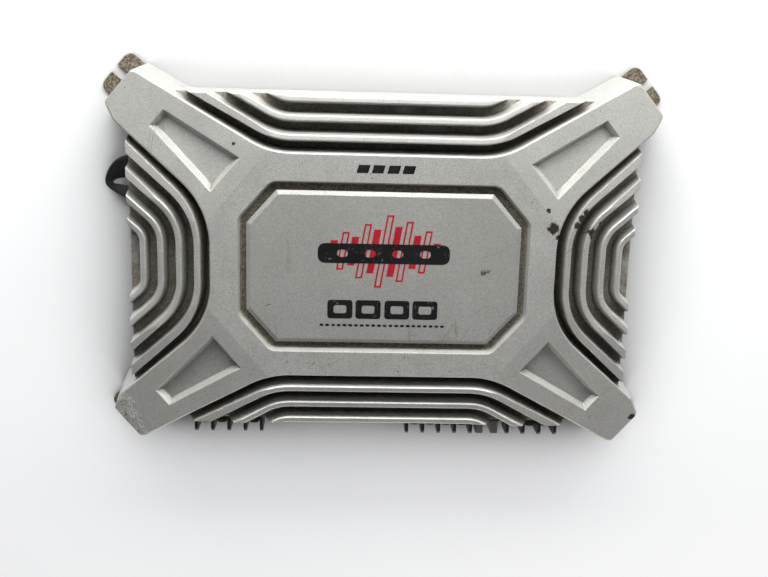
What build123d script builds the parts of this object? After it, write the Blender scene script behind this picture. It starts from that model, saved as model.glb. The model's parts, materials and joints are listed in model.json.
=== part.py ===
from build123d import *
import math
import os

# Car amplifier. Origin at the middle of the mounting face, +Z out of the top cover,
# +X along the long side, -Y towards the terminals. Millimetres.

# Driving dimensions
OVERALL_HEIGHT = 55.0
BASE_THICKNESS = 2.0
BODY_HALF_X = 166.0
BODY_HALF_Y = 109.2
BODY_DRAFT_DEG = 2.0
GROOVE_FLOOR_Z = 36.0

# X-shaped raised frame on the cover: straight runs, arm edges and their bend
FRAME_HALF_X = 112.7
FRAME_HALF_Y = 73.8
FRAME_BEND_ALONG_X = 74.4
FRAME_BEND_ALONG_Y = 37.2
LONG_EDGE_ANGLE = 28.8
SHORT_EDGE_ANGLE = 42.0
BEND_RADIUS = 55.0
FRAME_DRAFT_DEG = 6.0
EDGE_CHAMFER = 0.7

# Arms: they slope down to the corners along one direction
ARM_ANGLE = 40.3
ARM_CREASE_DISTANCE = 105.8
ARM_SLOPE = 0.115
ARM_END_DISTANCE = 202.5
ARM_CENTRE_OFFSET = -24.0
ARM_END_CORNER_LONG = (162.2, 122.0)
ARM_END_CORNER_SHORT = (178.4, 102.5)
ARM_END_SHORT_START = (173.0, 91.5)
ARM_END_ROUND = 5.0
ARM_RECESS_DEPTH = 4.5
ARM_RECESS_DRAFT_DEG = 33.0
# recess corners measured along and across the arm, from its crease and middle line
ARM_RECESS = [(10.3, 16.8), (10.3, -12.0), (66.5, -6.2), (66.5, 7.4)]

# Ribs: distance of each rib's inner edge from the frame edge, and its drop below the top
RIB_WIDTH = 4.0
RIB_DRAFT_DEG = 7.0
RIB_TOP_TILT = 0.5
RIB_ROOT = 1.0
LONG_SIDE_RIBS = [(7.5, 0.5), (19.5, 3.8), (31.4, 6.2)]
SHORT_SIDE_RIBS = [(6.3, 0.5), (18.4, 3.8), (30.7, 6.2), (42.4, 9.0)]

# Badge recess and badge plate
RECESS_HALF_X = 95.1
RECESS_HALF_Y = 56.4
RECESS_CENTRE_Y = -0.6
RECESS_CORNER = 9.0
RECESS_FLAT_X = 73.5
RECESS_FLAT_Y = 31.8
RECESS_DEPTH = 5.5
RECESS_DRAFT_DEG = 22.0
PLATE_HALF_X = 89.2
PLATE_HALF_Y = 50.3
PLATE_FLAT_X = 70.0
PLATE_FLAT_Y = 28.6
PLATE_THICKNESS = 3.9
PLATE_BEVEL_WIDTH = 2.7
PLATE_BEVEL_HEIGHT = 1.2
TAPE_THICKNESS = 0.6
TAPE_INSET = 2.0

# Hollow inside
CAVITY_HALF_X = 152.0
CAVITY_HALF_Y = 102.0
CAVITY_TOP_Z = 32.0
PLATEAU_CAVITY_HALF_X = 84.0
PLATEAU_CAVITY_HALF_Y = 46.0
PLATEAU_CAVITY_TOP_Z = 45.5
CAVITY_CORNER = 6.0
# corners of the hollow in one arm, along the arm and across it
ARM_CAVITY = [(140, -8), (140, -40), (195, -32), (195, -16)]

# Mounting ears, open slots for 6 mm screws
EAR_WIDTH = 31.0
EAR_END_DISTANCE = 217.0
EAR_START_DISTANCE = 180.0
EAR_CORNER = 5.0
SLOT_WIDTH = 6.4
SLOT_CENTRE_DISTANCE = 209.0
BASE_INSET = 0.7

# Terminal side
WINDOW_HALF_X = 131.0
WINDOW_BOTTOM_Z = 4.0
WINDOW_TOP_Z = 31.0
PANEL_THICKNESS = 1.5
PANEL_HALF_X = 137.0
TERMINAL_PITCH = 11.3
TERMINAL_BOTTOM_Z = 10.0
TERMINAL_TOP_Z = 29.0
BARRIER_WIDTH = 2.2
BLOCK_FRONT_Y = -114.0
LEFT_BLOCK_FIRST_X = -126.6
RIGHT_BLOCK_FIRST_X = 20.6
POWER_BLOCK_FIRST_X = 92.0
FUSE_POSITIONS_X = [72.0, 82.5]
RCA_POSITIONS_X = [-66.0, -50.0]
RCA_POSITIONS_Z = [11.5, 25.0]

# Circuit board
BOARD_BOTTOM_Z = 10.0
BOARD_THICKNESS = 1.6
BOARD_HALF_X = 134.0
BOARD_BACK_Y = 100.8
BOARD_FRONT_Y = -96.5

# Screws of the cover and the panel
SCREW_RADIUS = 1.5
BODY_SCREW_LENGTH = 12.0
BLIND_HOLE_DEPTH = 5.0
BOSS_RADIUS = 5.0
BODY_SCREWS = [(142, 92), (-142, 92), (-142, -92), (142, -92), (145, 0), (-145, 0)]
PANEL_SCREWS = [(134, 10), (134, 25), (-134, 10), (-134, 25)]
PANEL_SCREW_LENGTH = 6.0
BOARD_SCREW_LENGTH = 6.0
CLAMP_Z = 24.0
CLAMP_SCREWS_X = [-110, -78, -46, -14, 31, 67, 103]

# Screw heads and small parts
SCREW_HEAD_RADIUS = 2.9
HEAD_RADIUS = 2.8
HEAD_HEIGHT = 2.0
DRIVE_WIDTH = 0.8
DRIVE_DEPTH = 0.7
RIVET_STEP = 0.3
STANDOFF_RADIUS = 3.0
STANDOFFS = [(126, -86), (-126, -86), (126, 74), (-126, 74), (0, -70), (0, 74)]
SHEET_THICKNESS = 0.3
SHEET_LENGTH = 184.0
SHEET_CENTRE_Y = -2.0

# Strap: two tails in the wall's slot, folded together at the outer end
STRAP_CENTRE_Y = 48.0
STRAP_SLOT_LENGTH = 36.0
STRAP_SLOT_HEIGHT = 3.4
STRAP_BOTTOM_Z = 2.2
STRAP_THICKNESS = 3.0
STRAP_OUTLINE = [(-138, 65), (-172, 65), (-180, 64), (-188.4, 48), (-187.5, 43.5), (-184, 42), (-176, 35)]
STRAP_OUTLINE += [(-170, 31.5), (-138, 31.5)]
STRAP_GAP = [(-182, 49), (-172, 43.5), (-168, 45), (-168, 48), (-174, 49.5)]
STRAP_SCREWS = [(-143.5, 57), (-143.5, 38)]
CLIP_WIDTH = 9.0
CLIP_THICKNESS = 1.2

# Coils, capacitors and chips on the board
TRANSFORMER_AT = (44, 0)
TRANSFORMER_RADII = (15, 26)
TRANSFORMER_HEIGHT = 20
TRANSFORMER_WRAP = 3
CHOKE_AT = (106, -36)
CHOKE_RADII = (6, 12)
CHOKE_HEIGHT = 9
CHOKE_WRAP = 2
RAIL_CAPACITORS = [(-6, 24), (-6, -2), (-32, 24), (-32, -2)]
RAIL_CAPACITOR_SIZE = (10, 31)
INPUT_CAPACITORS = [(116, 8), (116, 26), (116, 44)]
INPUT_CAPACITOR_SIZE = (7, 19)
SIGNAL_CAPACITORS = [(x, -30) for x in range(-110, -39, 10)]
SIGNAL_CAPACITOR_SIZE = (3, 11)
CAPACITOR_NECK = 0.93
CHIPS = [(-100, -8), (-74, -8), (-100, 14), (-74, 14), (80, -62)]
CHIP_LENGTH = 19.0
CHIP_WIDTH = 6.4
CHIP_HEIGHT = 4.0
PREAMP_BOARD_AT = (-84, -48)
PREAMP_BOARD_LENGTH = 72.0
PREAMP_BOARD_HEIGHT = 18.0

# Transistors
OUTPUT_X = [-118, -102, -86, -70, -54, -38, -22, -6]
SUPPLY_X = [22, 40, 58, 76, 94, 112]
PAD_Z = (14, 31)
CLAMP_BAR_Z = (20, 28)
STRIP_MARGIN = 1.0
PAD_THICKNESS = 0.4
CLAMP_DEPTH = 2.5
TRANSISTOR_WIDTH = 10.2
TRANSISTOR_DEPTH = 4.5
TRANSISTOR_HEIGHT = 15.5
LEG_LENGTH = 3.5
LEG_WIDTH = 0.8
LEG_STEPS = (-2.54, 0, 2.54)

# Panel contents
PANEL_BOTTOM_Z = 2.4
PANEL_TOP_Z = 31.8
TERMINAL_SCREW_Z = 20.5
BLOCK_TAIL = 6.0
SHELF_THICKNESS = 1.2
SHELF_DEPTH = 7.0
TERMINAL_SCREW_DEPTH = 7.0
TERMINAL_PLATE_SIZE = 8.4
TERMINAL_PLATE_THICKNESS = 0.8
TERMINAL_HEAD_RADIUS = 3.2
WIRE_GAP = 1.6
BARRIER_PROFILE = [(-114, 10), (-122, 10), (-124, 12), (-124, 27), (-122, 29), (-114, 29)]
FUSE_HOLDER_WIDTH = 17.4
FUSE_HOLDER_HEIGHT = 19.0
FUSE_WIDTH = 5.2
FUSE_HEIGHT = 18.6
FUSE_CORNER = 1.0
FUSE_DEPTH = 9.0
FUSE_BLADE_STEP = 6.0
FUSE_BLADE_THICKNESS = 0.7
FUSE_BLADE_WIDTH = 5.0
FUSE_BLADE_LENGTH = 8.0
FUSE_BLADE_SEAT = 3.0
RCA_RADIUS = 4.15
RCA_INNER_RADIUS = 3.45
RCA_PIN_RADIUS = 1.6
RCA_CONTACT_WALL = 0.5
RCA_CONTACT_LENGTH = 8.0
RCA_INSULATOR_LENGTH = 3.0
RCA_LENGTH = 10.0
RCA_NECK_RADIUS = 3.9
RCA_BLOCK_WIDTH = 30.0
RCA_BLOCK_BOTTOM_Z = 5.0
RCA_BLOCK_TOP_Z = 31.0
KNOBS = [("level_knob_front", -36), ("level_knob_rear", -25), ("high_pass_knob", -14), ("low_pass_knob", -3)]
KNOB_Z = 17.5
KNOB_RADIUS = 3.5
KNOB_GAP = 0.3
KNOB_FRONT_REACH = 105.5
KNOB_DEPTH = 5.5
KNOB_SLOT_WIDTH = 0.9
KNOB_SLOT_DEPTH = 1.2
KNOB_SHAFT_LENGTH = 4.0
POT_FRONT_REACH = 99.5
POT_WIDTH = 10.0
POT_DEPTH = 8.0
POT_TOP_Z = 23.5
SWITCHES = [("filter_switch_front", 15.0), ("filter_switch_rear", 23.5)]
SWITCH_X = 10.5
SWITCH_WIDTH = 11.0
SWITCH_TOP_Z = 27.0
SWITCH_DEPTH = 6.0
SWITCH_CHANNEL = 4.0
SWITCH_SLOT_LENGTH = 7.4
SWITCH_SLOT_HEIGHT = 3.2
SWITCH_TRAVEL = 3.0
SLIDER_WIDTH = 3.8
SLIDER_HEIGHT = 2.8
SLIDER_FRONT_REACH = 104.5
SLIDER_DEPTH = 7.5
SLIDER_CHAMFER = 0.4
LED_POSITION = (-14, 27.5)
LED_STANDS_OUT = 1.5
LED_LENGTH = 6.0
LED_ROUND = 0.6

os.makedirs("parts", exist_ok=True)

BODY_BOTTOM_Z = BASE_THICKNESS
WALL_DEPTH = BODY_HALF_Y - CAVITY_HALF_Y
QUADRANTS = [(1, 1), (-1, 1), (-1, -1), (1, -1)]
BOARD_TOP_Z = BOARD_BOTTOM_Z + BOARD_THICKNESS
ARM_X = math.cos(math.radians(ARM_ANGLE))
ARM_Y = math.sin(math.radians(ARM_ANGLE))
PANEL_INNER_Y = -CAVITY_HALF_Y + PANEL_THICKNESS
CLEAR = 0.05


def save(piece, label):
    """Label a finished piece and write it as its own STEP file."""
    piece.part.label = label
    export_step(piece.part, f"parts/{label}.step")


def arm_point(along, across):
    """A plan point of the +X +Y arm from its distance along and across the arm direction."""
    return (ARM_X * along - ARM_Y * across, ARM_Y * along + ARM_X * across)


def long_edge_points(distance, reach_y):
    """Corners of a line parallel to the frame's long concave edge, at a distance outside it."""
    turn = math.radians(LONG_EDGE_ANGLE)
    y = FRAME_HALF_Y + distance
    x = FRAME_BEND_ALONG_X - distance * (1 - math.cos(turn)) / math.sin(turn)
    end_x = x + (reach_y - y) / math.tan(turn)
    return [(-end_x, reach_y), (-x, y), (x, y), (end_x, reach_y)]


def short_edge_points(distance, reach_x):
    """Corners of a line parallel to the frame's short concave edge, at a distance outside it."""
    turn = math.radians(90 - SHORT_EDGE_ANGLE)
    x = FRAME_HALF_X + distance
    y = FRAME_BEND_ALONG_Y - distance * (1 - math.cos(turn)) / math.sin(turn)
    end_y = y + (reach_x - x) * math.tan(math.radians(SHORT_EDGE_ANGLE))
    return [(reach_x, end_y), (x, y), (x, -y), (reach_x, -end_y)]


def flipped(points, sign_x, sign_y):
    """The same plan points in another quadrant."""
    return [(sign_x * x, sign_y * y) for x, y in points]


def arm_reach(shape):
    """How far an edge or a corner stands out along the nearest arm, in whole millimetres."""
    place = shape.center()
    return round(ARM_X * abs(place.X) + ARM_Y * abs(place.Y))


def arm_plane(sign_x, sign_y):
    """The sloping top plane of one arm, with local X pointing outwards along the arm."""
    start_x, start_y = arm_point(ARM_CREASE_DISTANCE, ARM_CENTRE_OFFSET)
    return Plane(
        origin=(sign_x * start_x, sign_y * start_y, OVERALL_HEIGHT),
        x_dir=(sign_x * ARM_X, sign_y * ARM_Y, -ARM_SLOPE),
        z_dir=(sign_x * ARM_X * ARM_SLOPE, sign_y * ARM_Y * ARM_SLOPE, 1),
    )


def arm_end_plane(sign_x, sign_y):
    """The upright plane at the end of one arm, facing outwards."""
    end_x, end_y = arm_point(ARM_END_DISTANCE + CLEAR, ARM_CENTRE_OFFSET)
    return Plane(
        origin=(sign_x * end_x, sign_y * end_y, BASE_THICKNESS),
        x_dir=(0, 0, 1),
        z_dir=(sign_x * ARM_X, sign_y * ARM_Y, 0),
    )


def octagon(half_x, half_y, flat_x, flat_y):
    """Corners of a rectangle with cut corners."""
    quarter = [(half_x, flat_y), (flat_x, half_y)]
    return (
        quarter
        + flipped(quarter, -1, 1)[::-1]
        + flipped(quarter, -1, -1)
        + flipped(quarter, 1, -1)[::-1]
    )


def frame_outline():
    """Plan outline of the X-shaped frame at the level of the top face."""
    with BuildSketch(Plane.XY.offset(OVERALL_HEIGHT)) as outline:
        with BuildLine():
            corner_long = ARM_END_CORNER_LONG
            corner_short = ARM_END_CORNER_SHORT
            short_start = ARM_END_SHORT_START
            long_run = long_edge_points(0, corner_long[1])
            long_run[0] = (-corner_long[0], corner_long[1])
            long_run[3] = corner_long
            short_run = short_edge_points(0, short_start[0])
            FilletPolyline(*long_run, radius=BEND_RADIUS)
            FilletPolyline(*flipped(long_run, 1, -1), radius=BEND_RADIUS)
            FilletPolyline(*short_run, radius=BEND_RADIUS)
            FilletPolyline(*flipped(short_run, -1, 1), radius=BEND_RADIUS)
            for sign_x, sign_y in QUADRANTS:
                end = [corner_long, corner_short, short_run[0]]
                Polyline(*flipped(end, sign_x, sign_y))
        make_face()
        tips = [corner for corner in outline.vertices() if arm_reach(corner) >= int(ARM_END_DISTANCE)]
        fillet(tips, ARM_END_ROUND)
    return outline.sketch


def rib_section(path, height):
    """Drafted cross-section of a rib at the start of its path, its top tilted outwards."""
    spread = (height + RIB_ROOT) * math.tan(math.radians(RIB_DRAFT_DEG))
    half = RIB_WIDTH / 2
    along = path % 0
    plane = Plane(
        origin=path @ 0, x_dir=(-along.Y, along.X, 0), z_dir=(along.X, along.Y, 0)
    )
    with BuildSketch(plane) as section:
        Polygon(
            (-half - spread, -RIB_ROOT),
            (half + spread, -RIB_ROOT),
            (half, height - RIB_TOP_TILT - EDGE_CHAMFER),
            (half - EDGE_CHAMFER, height - RIB_TOP_TILT),
            (EDGE_CHAMFER - half, height),
            (-half, height - EDGE_CHAMFER),
            align=None,
        )
    return section.sketch


def top_rim(part, flat_z):
    """Edges around the top faces of a raised shape, without the creases between those faces."""
    tops = [face for face in part.faces() if face.normal_at().Z > 0.9 and face.center().Z > flat_z]
    rim = ShapeList()
    for face in tops:
        for edge in face.edges():
            shared = [other for other in tops if other is not face and edge in other.edges()]
            if not shared:
                rim.append(edge)
    return rim


def cut_arm_slopes():
    """Cut the current part down to the four sloping arm planes."""
    for sign_x, sign_y in QUADRANTS:
        with BuildSketch(arm_plane(sign_x, sign_y)) as slope:
            Rectangle(3 * BODY_HALF_X, 3 * BODY_HALF_Y)
        extrude(slope.sketch, amount=OVERALL_HEIGHT, mode=Mode.SUBTRACT)


def raised_rib(edge_points, start, drop, reach, mirror_plane):
    """One rib with its mirror image, drafted, sloped at the arms and cut at the body's sides."""
    centre = start + RIB_WIDTH / 2
    height = OVERALL_HEIGHT - drop - GROOVE_FLOOR_Z
    points = [(x, y, GROOVE_FLOOR_Z) for x, y in edge_points(centre, reach)]
    with BuildPart() as rib:
        with BuildLine() as run:
            FilletPolyline(*points, radius=BEND_RADIUS - centre)
        sweep(rib_section(run.line, height), path=run.line)
        cut_arm_slopes()
        add(drafted_box(OVERALL_HEIGHT), mode=Mode.INTERSECT)
        mirror(about=mirror_plane)
    return rib.part


def drafted_box(top_z):
    """The body's block up to a height, with its side walls leaning outwards towards the base."""
    draft = math.tan(math.radians(BODY_DRAFT_DEG))
    spread = (OVERALL_HEIGHT - BODY_BOTTOM_Z) * draft
    with BuildPart() as block:
        with BuildSketch(Plane.XY.offset(BODY_BOTTOM_Z)) as outline:
            Rectangle(2 * (BODY_HALF_X + spread), 2 * (BODY_HALF_Y + spread))
        extrude(outline.sketch, amount=top_z - BODY_BOTTOM_Z, taper=BODY_DRAFT_DEG)
    return block.part


# Cover ----------------------------------------------------------------------------------
with BuildPart() as raised_frame:
    extrude(frame_outline(), amount=-(OVERALL_HEIGHT - BODY_BOTTOM_Z), taper=-FRAME_DRAFT_DEG)
    cut_arm_slopes()
    chamfer(top_rim(raised_frame.part, GROOVE_FLOOR_Z), EDGE_CHAMFER)

ribs = []
for start, drop in LONG_SIDE_RIBS:
    reach = BODY_HALF_Y + 4 * RIB_WIDTH
    ribs.append(raised_rib(long_edge_points, start, drop, reach, Plane.XZ))
for start, drop in SHORT_SIDE_RIBS:
    reach = BODY_HALF_X + 4 * RIB_WIDTH
    ribs.append(raised_rib(short_edge_points, start, drop, reach, Plane.YZ))

with BuildPart() as heatsink_cover:
    add(drafted_box(GROOVE_FLOOR_Z))
    add(raised_frame.part)
    add(ribs)
    # badge recess
    with BuildSketch(Plane.XY.offset(OVERALL_HEIGHT)) as badge_recess:
        with Locations((0, RECESS_CENTRE_Y)):
            Polygon(*octagon(RECESS_HALF_X, RECESS_HALF_Y, RECESS_FLAT_X, RECESS_FLAT_Y), align=None)
        fillet(badge_recess.vertices(), RECESS_CORNER)
    extrude(amount=-RECESS_DEPTH, taper=RECESS_DRAFT_DEG, mode=Mode.SUBTRACT)
    # long tapering recess in each arm
    for sign_x, sign_y in QUADRANTS:
        with BuildSketch(arm_plane(sign_x, sign_y)):
            Polygon(*flipped(ARM_RECESS, 1, sign_x * sign_y), align=None)
        extrude(amount=-ARM_RECESS_DEPTH, taper=ARM_RECESS_DRAFT_DEG, mode=Mode.SUBTRACT)
    # arm ends stand upright, so that a screw head fits over the ear behind them
    for sign_x, sign_y in QUADRANTS:
        with BuildSketch(arm_end_plane(sign_x, sign_y)):
            Rectangle(4 * EAR_WIDTH, 4 * OVERALL_HEIGHT)
        extrude(amount=EAR_WIDTH, mode=Mode.SUBTRACT)
    # hollow inside: main space, the space under the plateau and one in each arm
    with BuildSketch(Plane.XY.offset(BODY_BOTTOM_Z)):
        RectangleRounded(2 * CAVITY_HALF_X, 2 * CAVITY_HALF_Y, CAVITY_CORNER)
    extrude(amount=CAVITY_TOP_Z - BODY_BOTTOM_Z, mode=Mode.SUBTRACT)
    with BuildSketch(Plane.XY.offset(BODY_BOTTOM_Z)):
        RectangleRounded(2 * PLATEAU_CAVITY_HALF_X, 2 * PLATEAU_CAVITY_HALF_Y, CAVITY_CORNER)
    extrude(amount=PLATEAU_CAVITY_TOP_Z - BODY_BOTTOM_Z, mode=Mode.SUBTRACT)
    with BuildSketch(Plane.XY.offset(BODY_BOTTOM_Z)):
        for sign_x, sign_y in QUADRANTS:
            corners = [arm_point(along, across) for along, across in ARM_CAVITY]
            Polygon(*flipped(corners, sign_x, sign_y), align=None)
    extrude(amount=CAVITY_TOP_Z - BODY_BOTTOM_Z, mode=Mode.SUBTRACT)
    # bosses for the screws that hold the base plate
    with BuildSketch(Plane.XY.offset(BODY_BOTTOM_Z)):
        with Locations(*BODY_SCREWS):
            Circle(BOSS_RADIUS)
    extrude(amount=CAVITY_TOP_Z - BODY_BOTTOM_Z)
    with BuildSketch(Plane.XY.offset(BODY_BOTTOM_Z)):
        with Locations(*BODY_SCREWS):
            Circle(SCREW_RADIUS + CLEAR)
    extrude(amount=BODY_SCREW_LENGTH, mode=Mode.SUBTRACT)
    # window for the terminals
    with BuildSketch(Plane.XZ.offset(CAVITY_HALF_Y - CLEAR)):
        with Locations((0, (WINDOW_BOTTOM_Z + WINDOW_TOP_Z) / 2)):
            Rectangle(2 * WINDOW_HALF_X, WINDOW_TOP_Z - WINDOW_BOTTOM_Z)
    extrude(amount=2 * WALL_DEPTH, mode=Mode.SUBTRACT)
    # blind holes for the panel screws, and for the clamp screws in the opposite wall
    with BuildSketch(Plane.XZ.offset(CAVITY_HALF_Y)):
        with Locations(*PANEL_SCREWS):
            Circle(SCREW_RADIUS + CLEAR)
    extrude(amount=BLIND_HOLE_DEPTH, mode=Mode.SUBTRACT)
    with BuildSketch(Plane.XZ.offset(-CAVITY_HALF_Y)):
        with Locations(*[(x, CLAMP_Z) for x in CLAMP_SCREWS_X]):
            Circle(SCREW_RADIUS + CLEAR)
    extrude(amount=-BLIND_HOLE_DEPTH, mode=Mode.SUBTRACT)
    # slot in the side wall for the strap's two tails
    with BuildSketch(Plane.XY.offset(BODY_BOTTOM_Z)):
        with Locations((-(CAVITY_HALF_X + BODY_HALF_X) / 2, STRAP_CENTRE_Y)):
            Rectangle(2 * (BODY_HALF_X - CAVITY_HALF_X), STRAP_SLOT_LENGTH)
    extrude(amount=STRAP_SLOT_HEIGHT, mode=Mode.SUBTRACT)
save(heatsink_cover, "heatsink_cover")

# Badge plate on its foam tape -----------------------------------------------------------
TAPE_BOTTOM_Z = OVERALL_HEIGHT - RECESS_DEPTH
with BuildPart() as badge_tape:
    with BuildSketch(Plane.XY.offset(TAPE_BOTTOM_Z)):
        with Locations((0, RECESS_CENTRE_Y)):
            Polygon(*octagon(PLATE_HALF_X, PLATE_HALF_Y, PLATE_FLAT_X, PLATE_FLAT_Y), align=None)
        offset(amount=-TAPE_INSET)
    extrude(amount=TAPE_THICKNESS)
save(badge_tape, "badge_tape")

with BuildPart() as badge_plate:
    with BuildSketch(Plane.XY.offset(TAPE_BOTTOM_Z + TAPE_THICKNESS)):
        with Locations((0, RECESS_CENTRE_Y)):
            Polygon(*octagon(PLATE_HALF_X, PLATE_HALF_Y, PLATE_FLAT_X, PLATE_FLAT_Y), align=None)
    extrude(amount=PLATE_THICKNESS - PLATE_BEVEL_HEIGHT)
    bevel_angle = math.degrees(math.atan2(PLATE_BEVEL_WIDTH, PLATE_BEVEL_HEIGHT))
    extrude(badge_plate.faces().sort_by(Axis.Z)[-1], amount=PLATE_BEVEL_HEIGHT, taper=bevel_angle)
save(badge_plate, "badge_plate")

# Base plate with its four slotted ears --------------------------------------------------
body_spread = (OVERALL_HEIGHT - BODY_BOTTOM_Z) * math.tan(math.radians(BODY_DRAFT_DEG)) - BASE_INSET
frame_spread = (OVERALL_HEIGHT - BODY_BOTTOM_Z) * math.tan(math.radians(FRAME_DRAFT_DEG)) - BASE_INSET
ear_middle = (EAR_START_DISTANCE + EAR_END_DISTANCE) / 2
ear_length = EAR_END_DISTANCE - EAR_START_DISTANCE
with BuildPart() as base_plate:
    with BuildSketch():
        add(Plane.XY.offset(-OVERALL_HEIGHT) * frame_outline())
        offset(amount=frame_spread, kind=Kind.INTERSECTION)
        Rectangle(2 * (BODY_HALF_X + body_spread), 2 * (BODY_HALF_Y + body_spread))
        for sign_x, sign_y in QUADRANTS:
            ear_x, ear_y = arm_point(EAR_END_DISTANCE, ARM_CENTRE_OFFSET)
            slope_angle = math.degrees(math.atan2(sign_y * ARM_Y, sign_x * ARM_X))
            with Locations(Location((sign_x * ear_x, sign_y * ear_y), slope_angle)):
                Rectangle(EAR_WIDTH, 2 * EAR_WIDTH, align=(Align.MIN, Align.CENTER), mode=Mode.SUBTRACT)
                Rectangle(ear_length, EAR_WIDTH, align=(Align.MAX, Align.CENTER))
    extrude(amount=BASE_THICKNESS)
    outer_corners = base_plate.edges().filter_by(Axis.Z).group_by(arm_reach)[-1]
    fillet(outer_corners, EAR_CORNER)
    with BuildSketch():
        for sign_x, sign_y in QUADRANTS:
            slot_x, slot_y = arm_point(SLOT_CENTRE_DISTANCE, ARM_CENTRE_OFFSET)
            slope_angle = math.degrees(math.atan2(sign_y * ARM_Y, sign_x * ARM_X))
            with Locations(Location((sign_x * slot_x, sign_y * slot_y), slope_angle)):
                Circle(SLOT_WIDTH / 2)
                Rectangle(EAR_WIDTH, SLOT_WIDTH, align=(Align.MIN, Align.CENTER))
    extrude(amount=BASE_THICKNESS, mode=Mode.SUBTRACT)
    with Locations(*[Location((x, y, 0), (180, 0, 0)) for x, y in BODY_SCREWS]):
        CounterSinkHole(SCREW_RADIUS + CLEAR, SCREW_HEAD_RADIUS + CLEAR, depth=BASE_THICKNESS)
    with BuildSketch():
        with Locations(*STANDOFFS):
            Circle(SCREW_RADIUS - RIVET_STEP)
        with Locations(*STRAP_SCREWS):
            Circle(SCREW_RADIUS + CLEAR)
    extrude(amount=BASE_THICKNESS, mode=Mode.SUBTRACT)
save(base_plate, "base_plate")

with BuildPart() as base_screws:
    with BuildSketch():
        with Locations(*BODY_SCREWS):
            Circle(SCREW_HEAD_RADIUS)
    extrude(amount=SCREW_HEAD_RADIUS - SCREW_RADIUS, taper=45)
    with BuildSketch():
        with Locations(*BODY_SCREWS):
            Circle(SCREW_RADIUS)
    extrude(amount=BODY_SCREW_LENGTH)
    with BuildSketch():
        with Locations(*BODY_SCREWS):
            Rectangle(SCREW_HEAD_RADIUS, DRIVE_WIDTH)
            Rectangle(DRIVE_WIDTH, SCREW_HEAD_RADIUS)
    extrude(amount=DRIVE_DEPTH, mode=Mode.SUBTRACT)
save(base_screws, "base_screws")

# Carrying strap at the left side, held by a clip ----------------------------------------
with BuildPart() as strap_loop:
    with BuildSketch(Plane.XY.offset(STRAP_BOTTOM_Z)):
        Polygon(*STRAP_OUTLINE, align=None)
        Polygon(*STRAP_GAP, align=None, mode=Mode.SUBTRACT)
        with Locations(*STRAP_SCREWS):
            Circle(SCREW_RADIUS + CLEAR, mode=Mode.SUBTRACT)
    extrude(amount=STRAP_THICKNESS)
save(strap_loop, "strap_loop")

with BuildPart() as strap_clip:
    with BuildSketch(Plane.XY.offset(STRAP_BOTTOM_Z + STRAP_THICKNESS)):
        with Locations((STRAP_SCREWS[0][0], STRAP_CENTRE_Y)):
            Rectangle(CLIP_WIDTH, STRAP_SLOT_LENGTH)
        with Locations(*STRAP_SCREWS):
            Circle(SCREW_RADIUS + CLEAR, mode=Mode.SUBTRACT)
    extrude(amount=CLIP_THICKNESS)
save(strap_clip, "strap_clip")


def screws_down(points, head_bottom_z, length, head_radius):
    """A group of upright screws with round heads, their shafts pointing down."""
    with BuildPart() as group:
        with BuildSketch(Plane.XY.offset(head_bottom_z)) as heads:
            with Locations(*points):
                Circle(head_radius)
        extrude(heads.sketch, amount=HEAD_HEIGHT)
        with BuildSketch(Plane.XY.offset(head_bottom_z)) as shafts:
            with Locations(*points):
                Circle(SCREW_RADIUS)
        extrude(shafts.sketch, amount=-length)
    return group


def screws_along_y(points, head_start_y, direction, length, head_radius):
    """A group of level screws with slotted heads that stand out along -Y times direction."""
    head_end_y = head_start_y - direction * HEAD_HEIGHT
    with BuildPart() as group:
        with BuildSketch(Plane.XZ.offset(-head_start_y)) as heads:
            with Locations(*points):
                Circle(head_radius)
        extrude(heads.sketch, amount=direction * HEAD_HEIGHT)
        with BuildSketch(Plane.XZ.offset(-head_start_y)) as shafts:
            with Locations(*points):
                Circle(SCREW_RADIUS)
        extrude(shafts.sketch, amount=-direction * length)
        with BuildSketch(Plane.XZ.offset(-head_end_y)) as slots:
            with Locations(*points):
                Rectangle(2 * head_radius, DRIVE_WIDTH)
        extrude(slots.sketch, amount=-direction * DRIVE_DEPTH, mode=Mode.SUBTRACT)
    return group


strap_top_z = STRAP_BOTTOM_Z + STRAP_THICKNESS + CLIP_THICKNESS
save(screws_down(STRAP_SCREWS, strap_top_z, strap_top_z - CLEAR, HEAD_RADIUS), "strap_screws")

# Circuit board and what carries it ------------------------------------------------------
with BuildPart() as insulating_sheet:
    with BuildSketch(Plane.XY.offset(BODY_BOTTOM_Z)):
        with Locations((0, SHEET_CENTRE_Y)):
            Rectangle(2 * BOARD_HALF_X, SHEET_LENGTH)
        with Locations(*STANDOFFS):
            Circle(STANDOFF_RADIUS + CLEAR, mode=Mode.SUBTRACT)
    extrude(amount=SHEET_THICKNESS)
save(insulating_sheet, "insulating_sheet")

with BuildPart() as board_standoffs:
    with BuildSketch(Plane.XY.offset(BODY_BOTTOM_Z)):
        with Locations(*STANDOFFS):
            Circle(STANDOFF_RADIUS)
            Circle(SCREW_RADIUS + CLEAR, mode=Mode.SUBTRACT)
    extrude(amount=BOARD_BOTTOM_Z - BODY_BOTTOM_Z)
    with BuildSketch():
        with Locations(*STANDOFFS):
            Circle(SCREW_RADIUS - RIVET_STEP)
    extrude(amount=BODY_BOTTOM_Z + SHEET_THICKNESS)
save(board_standoffs, "board_standoffs")

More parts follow.
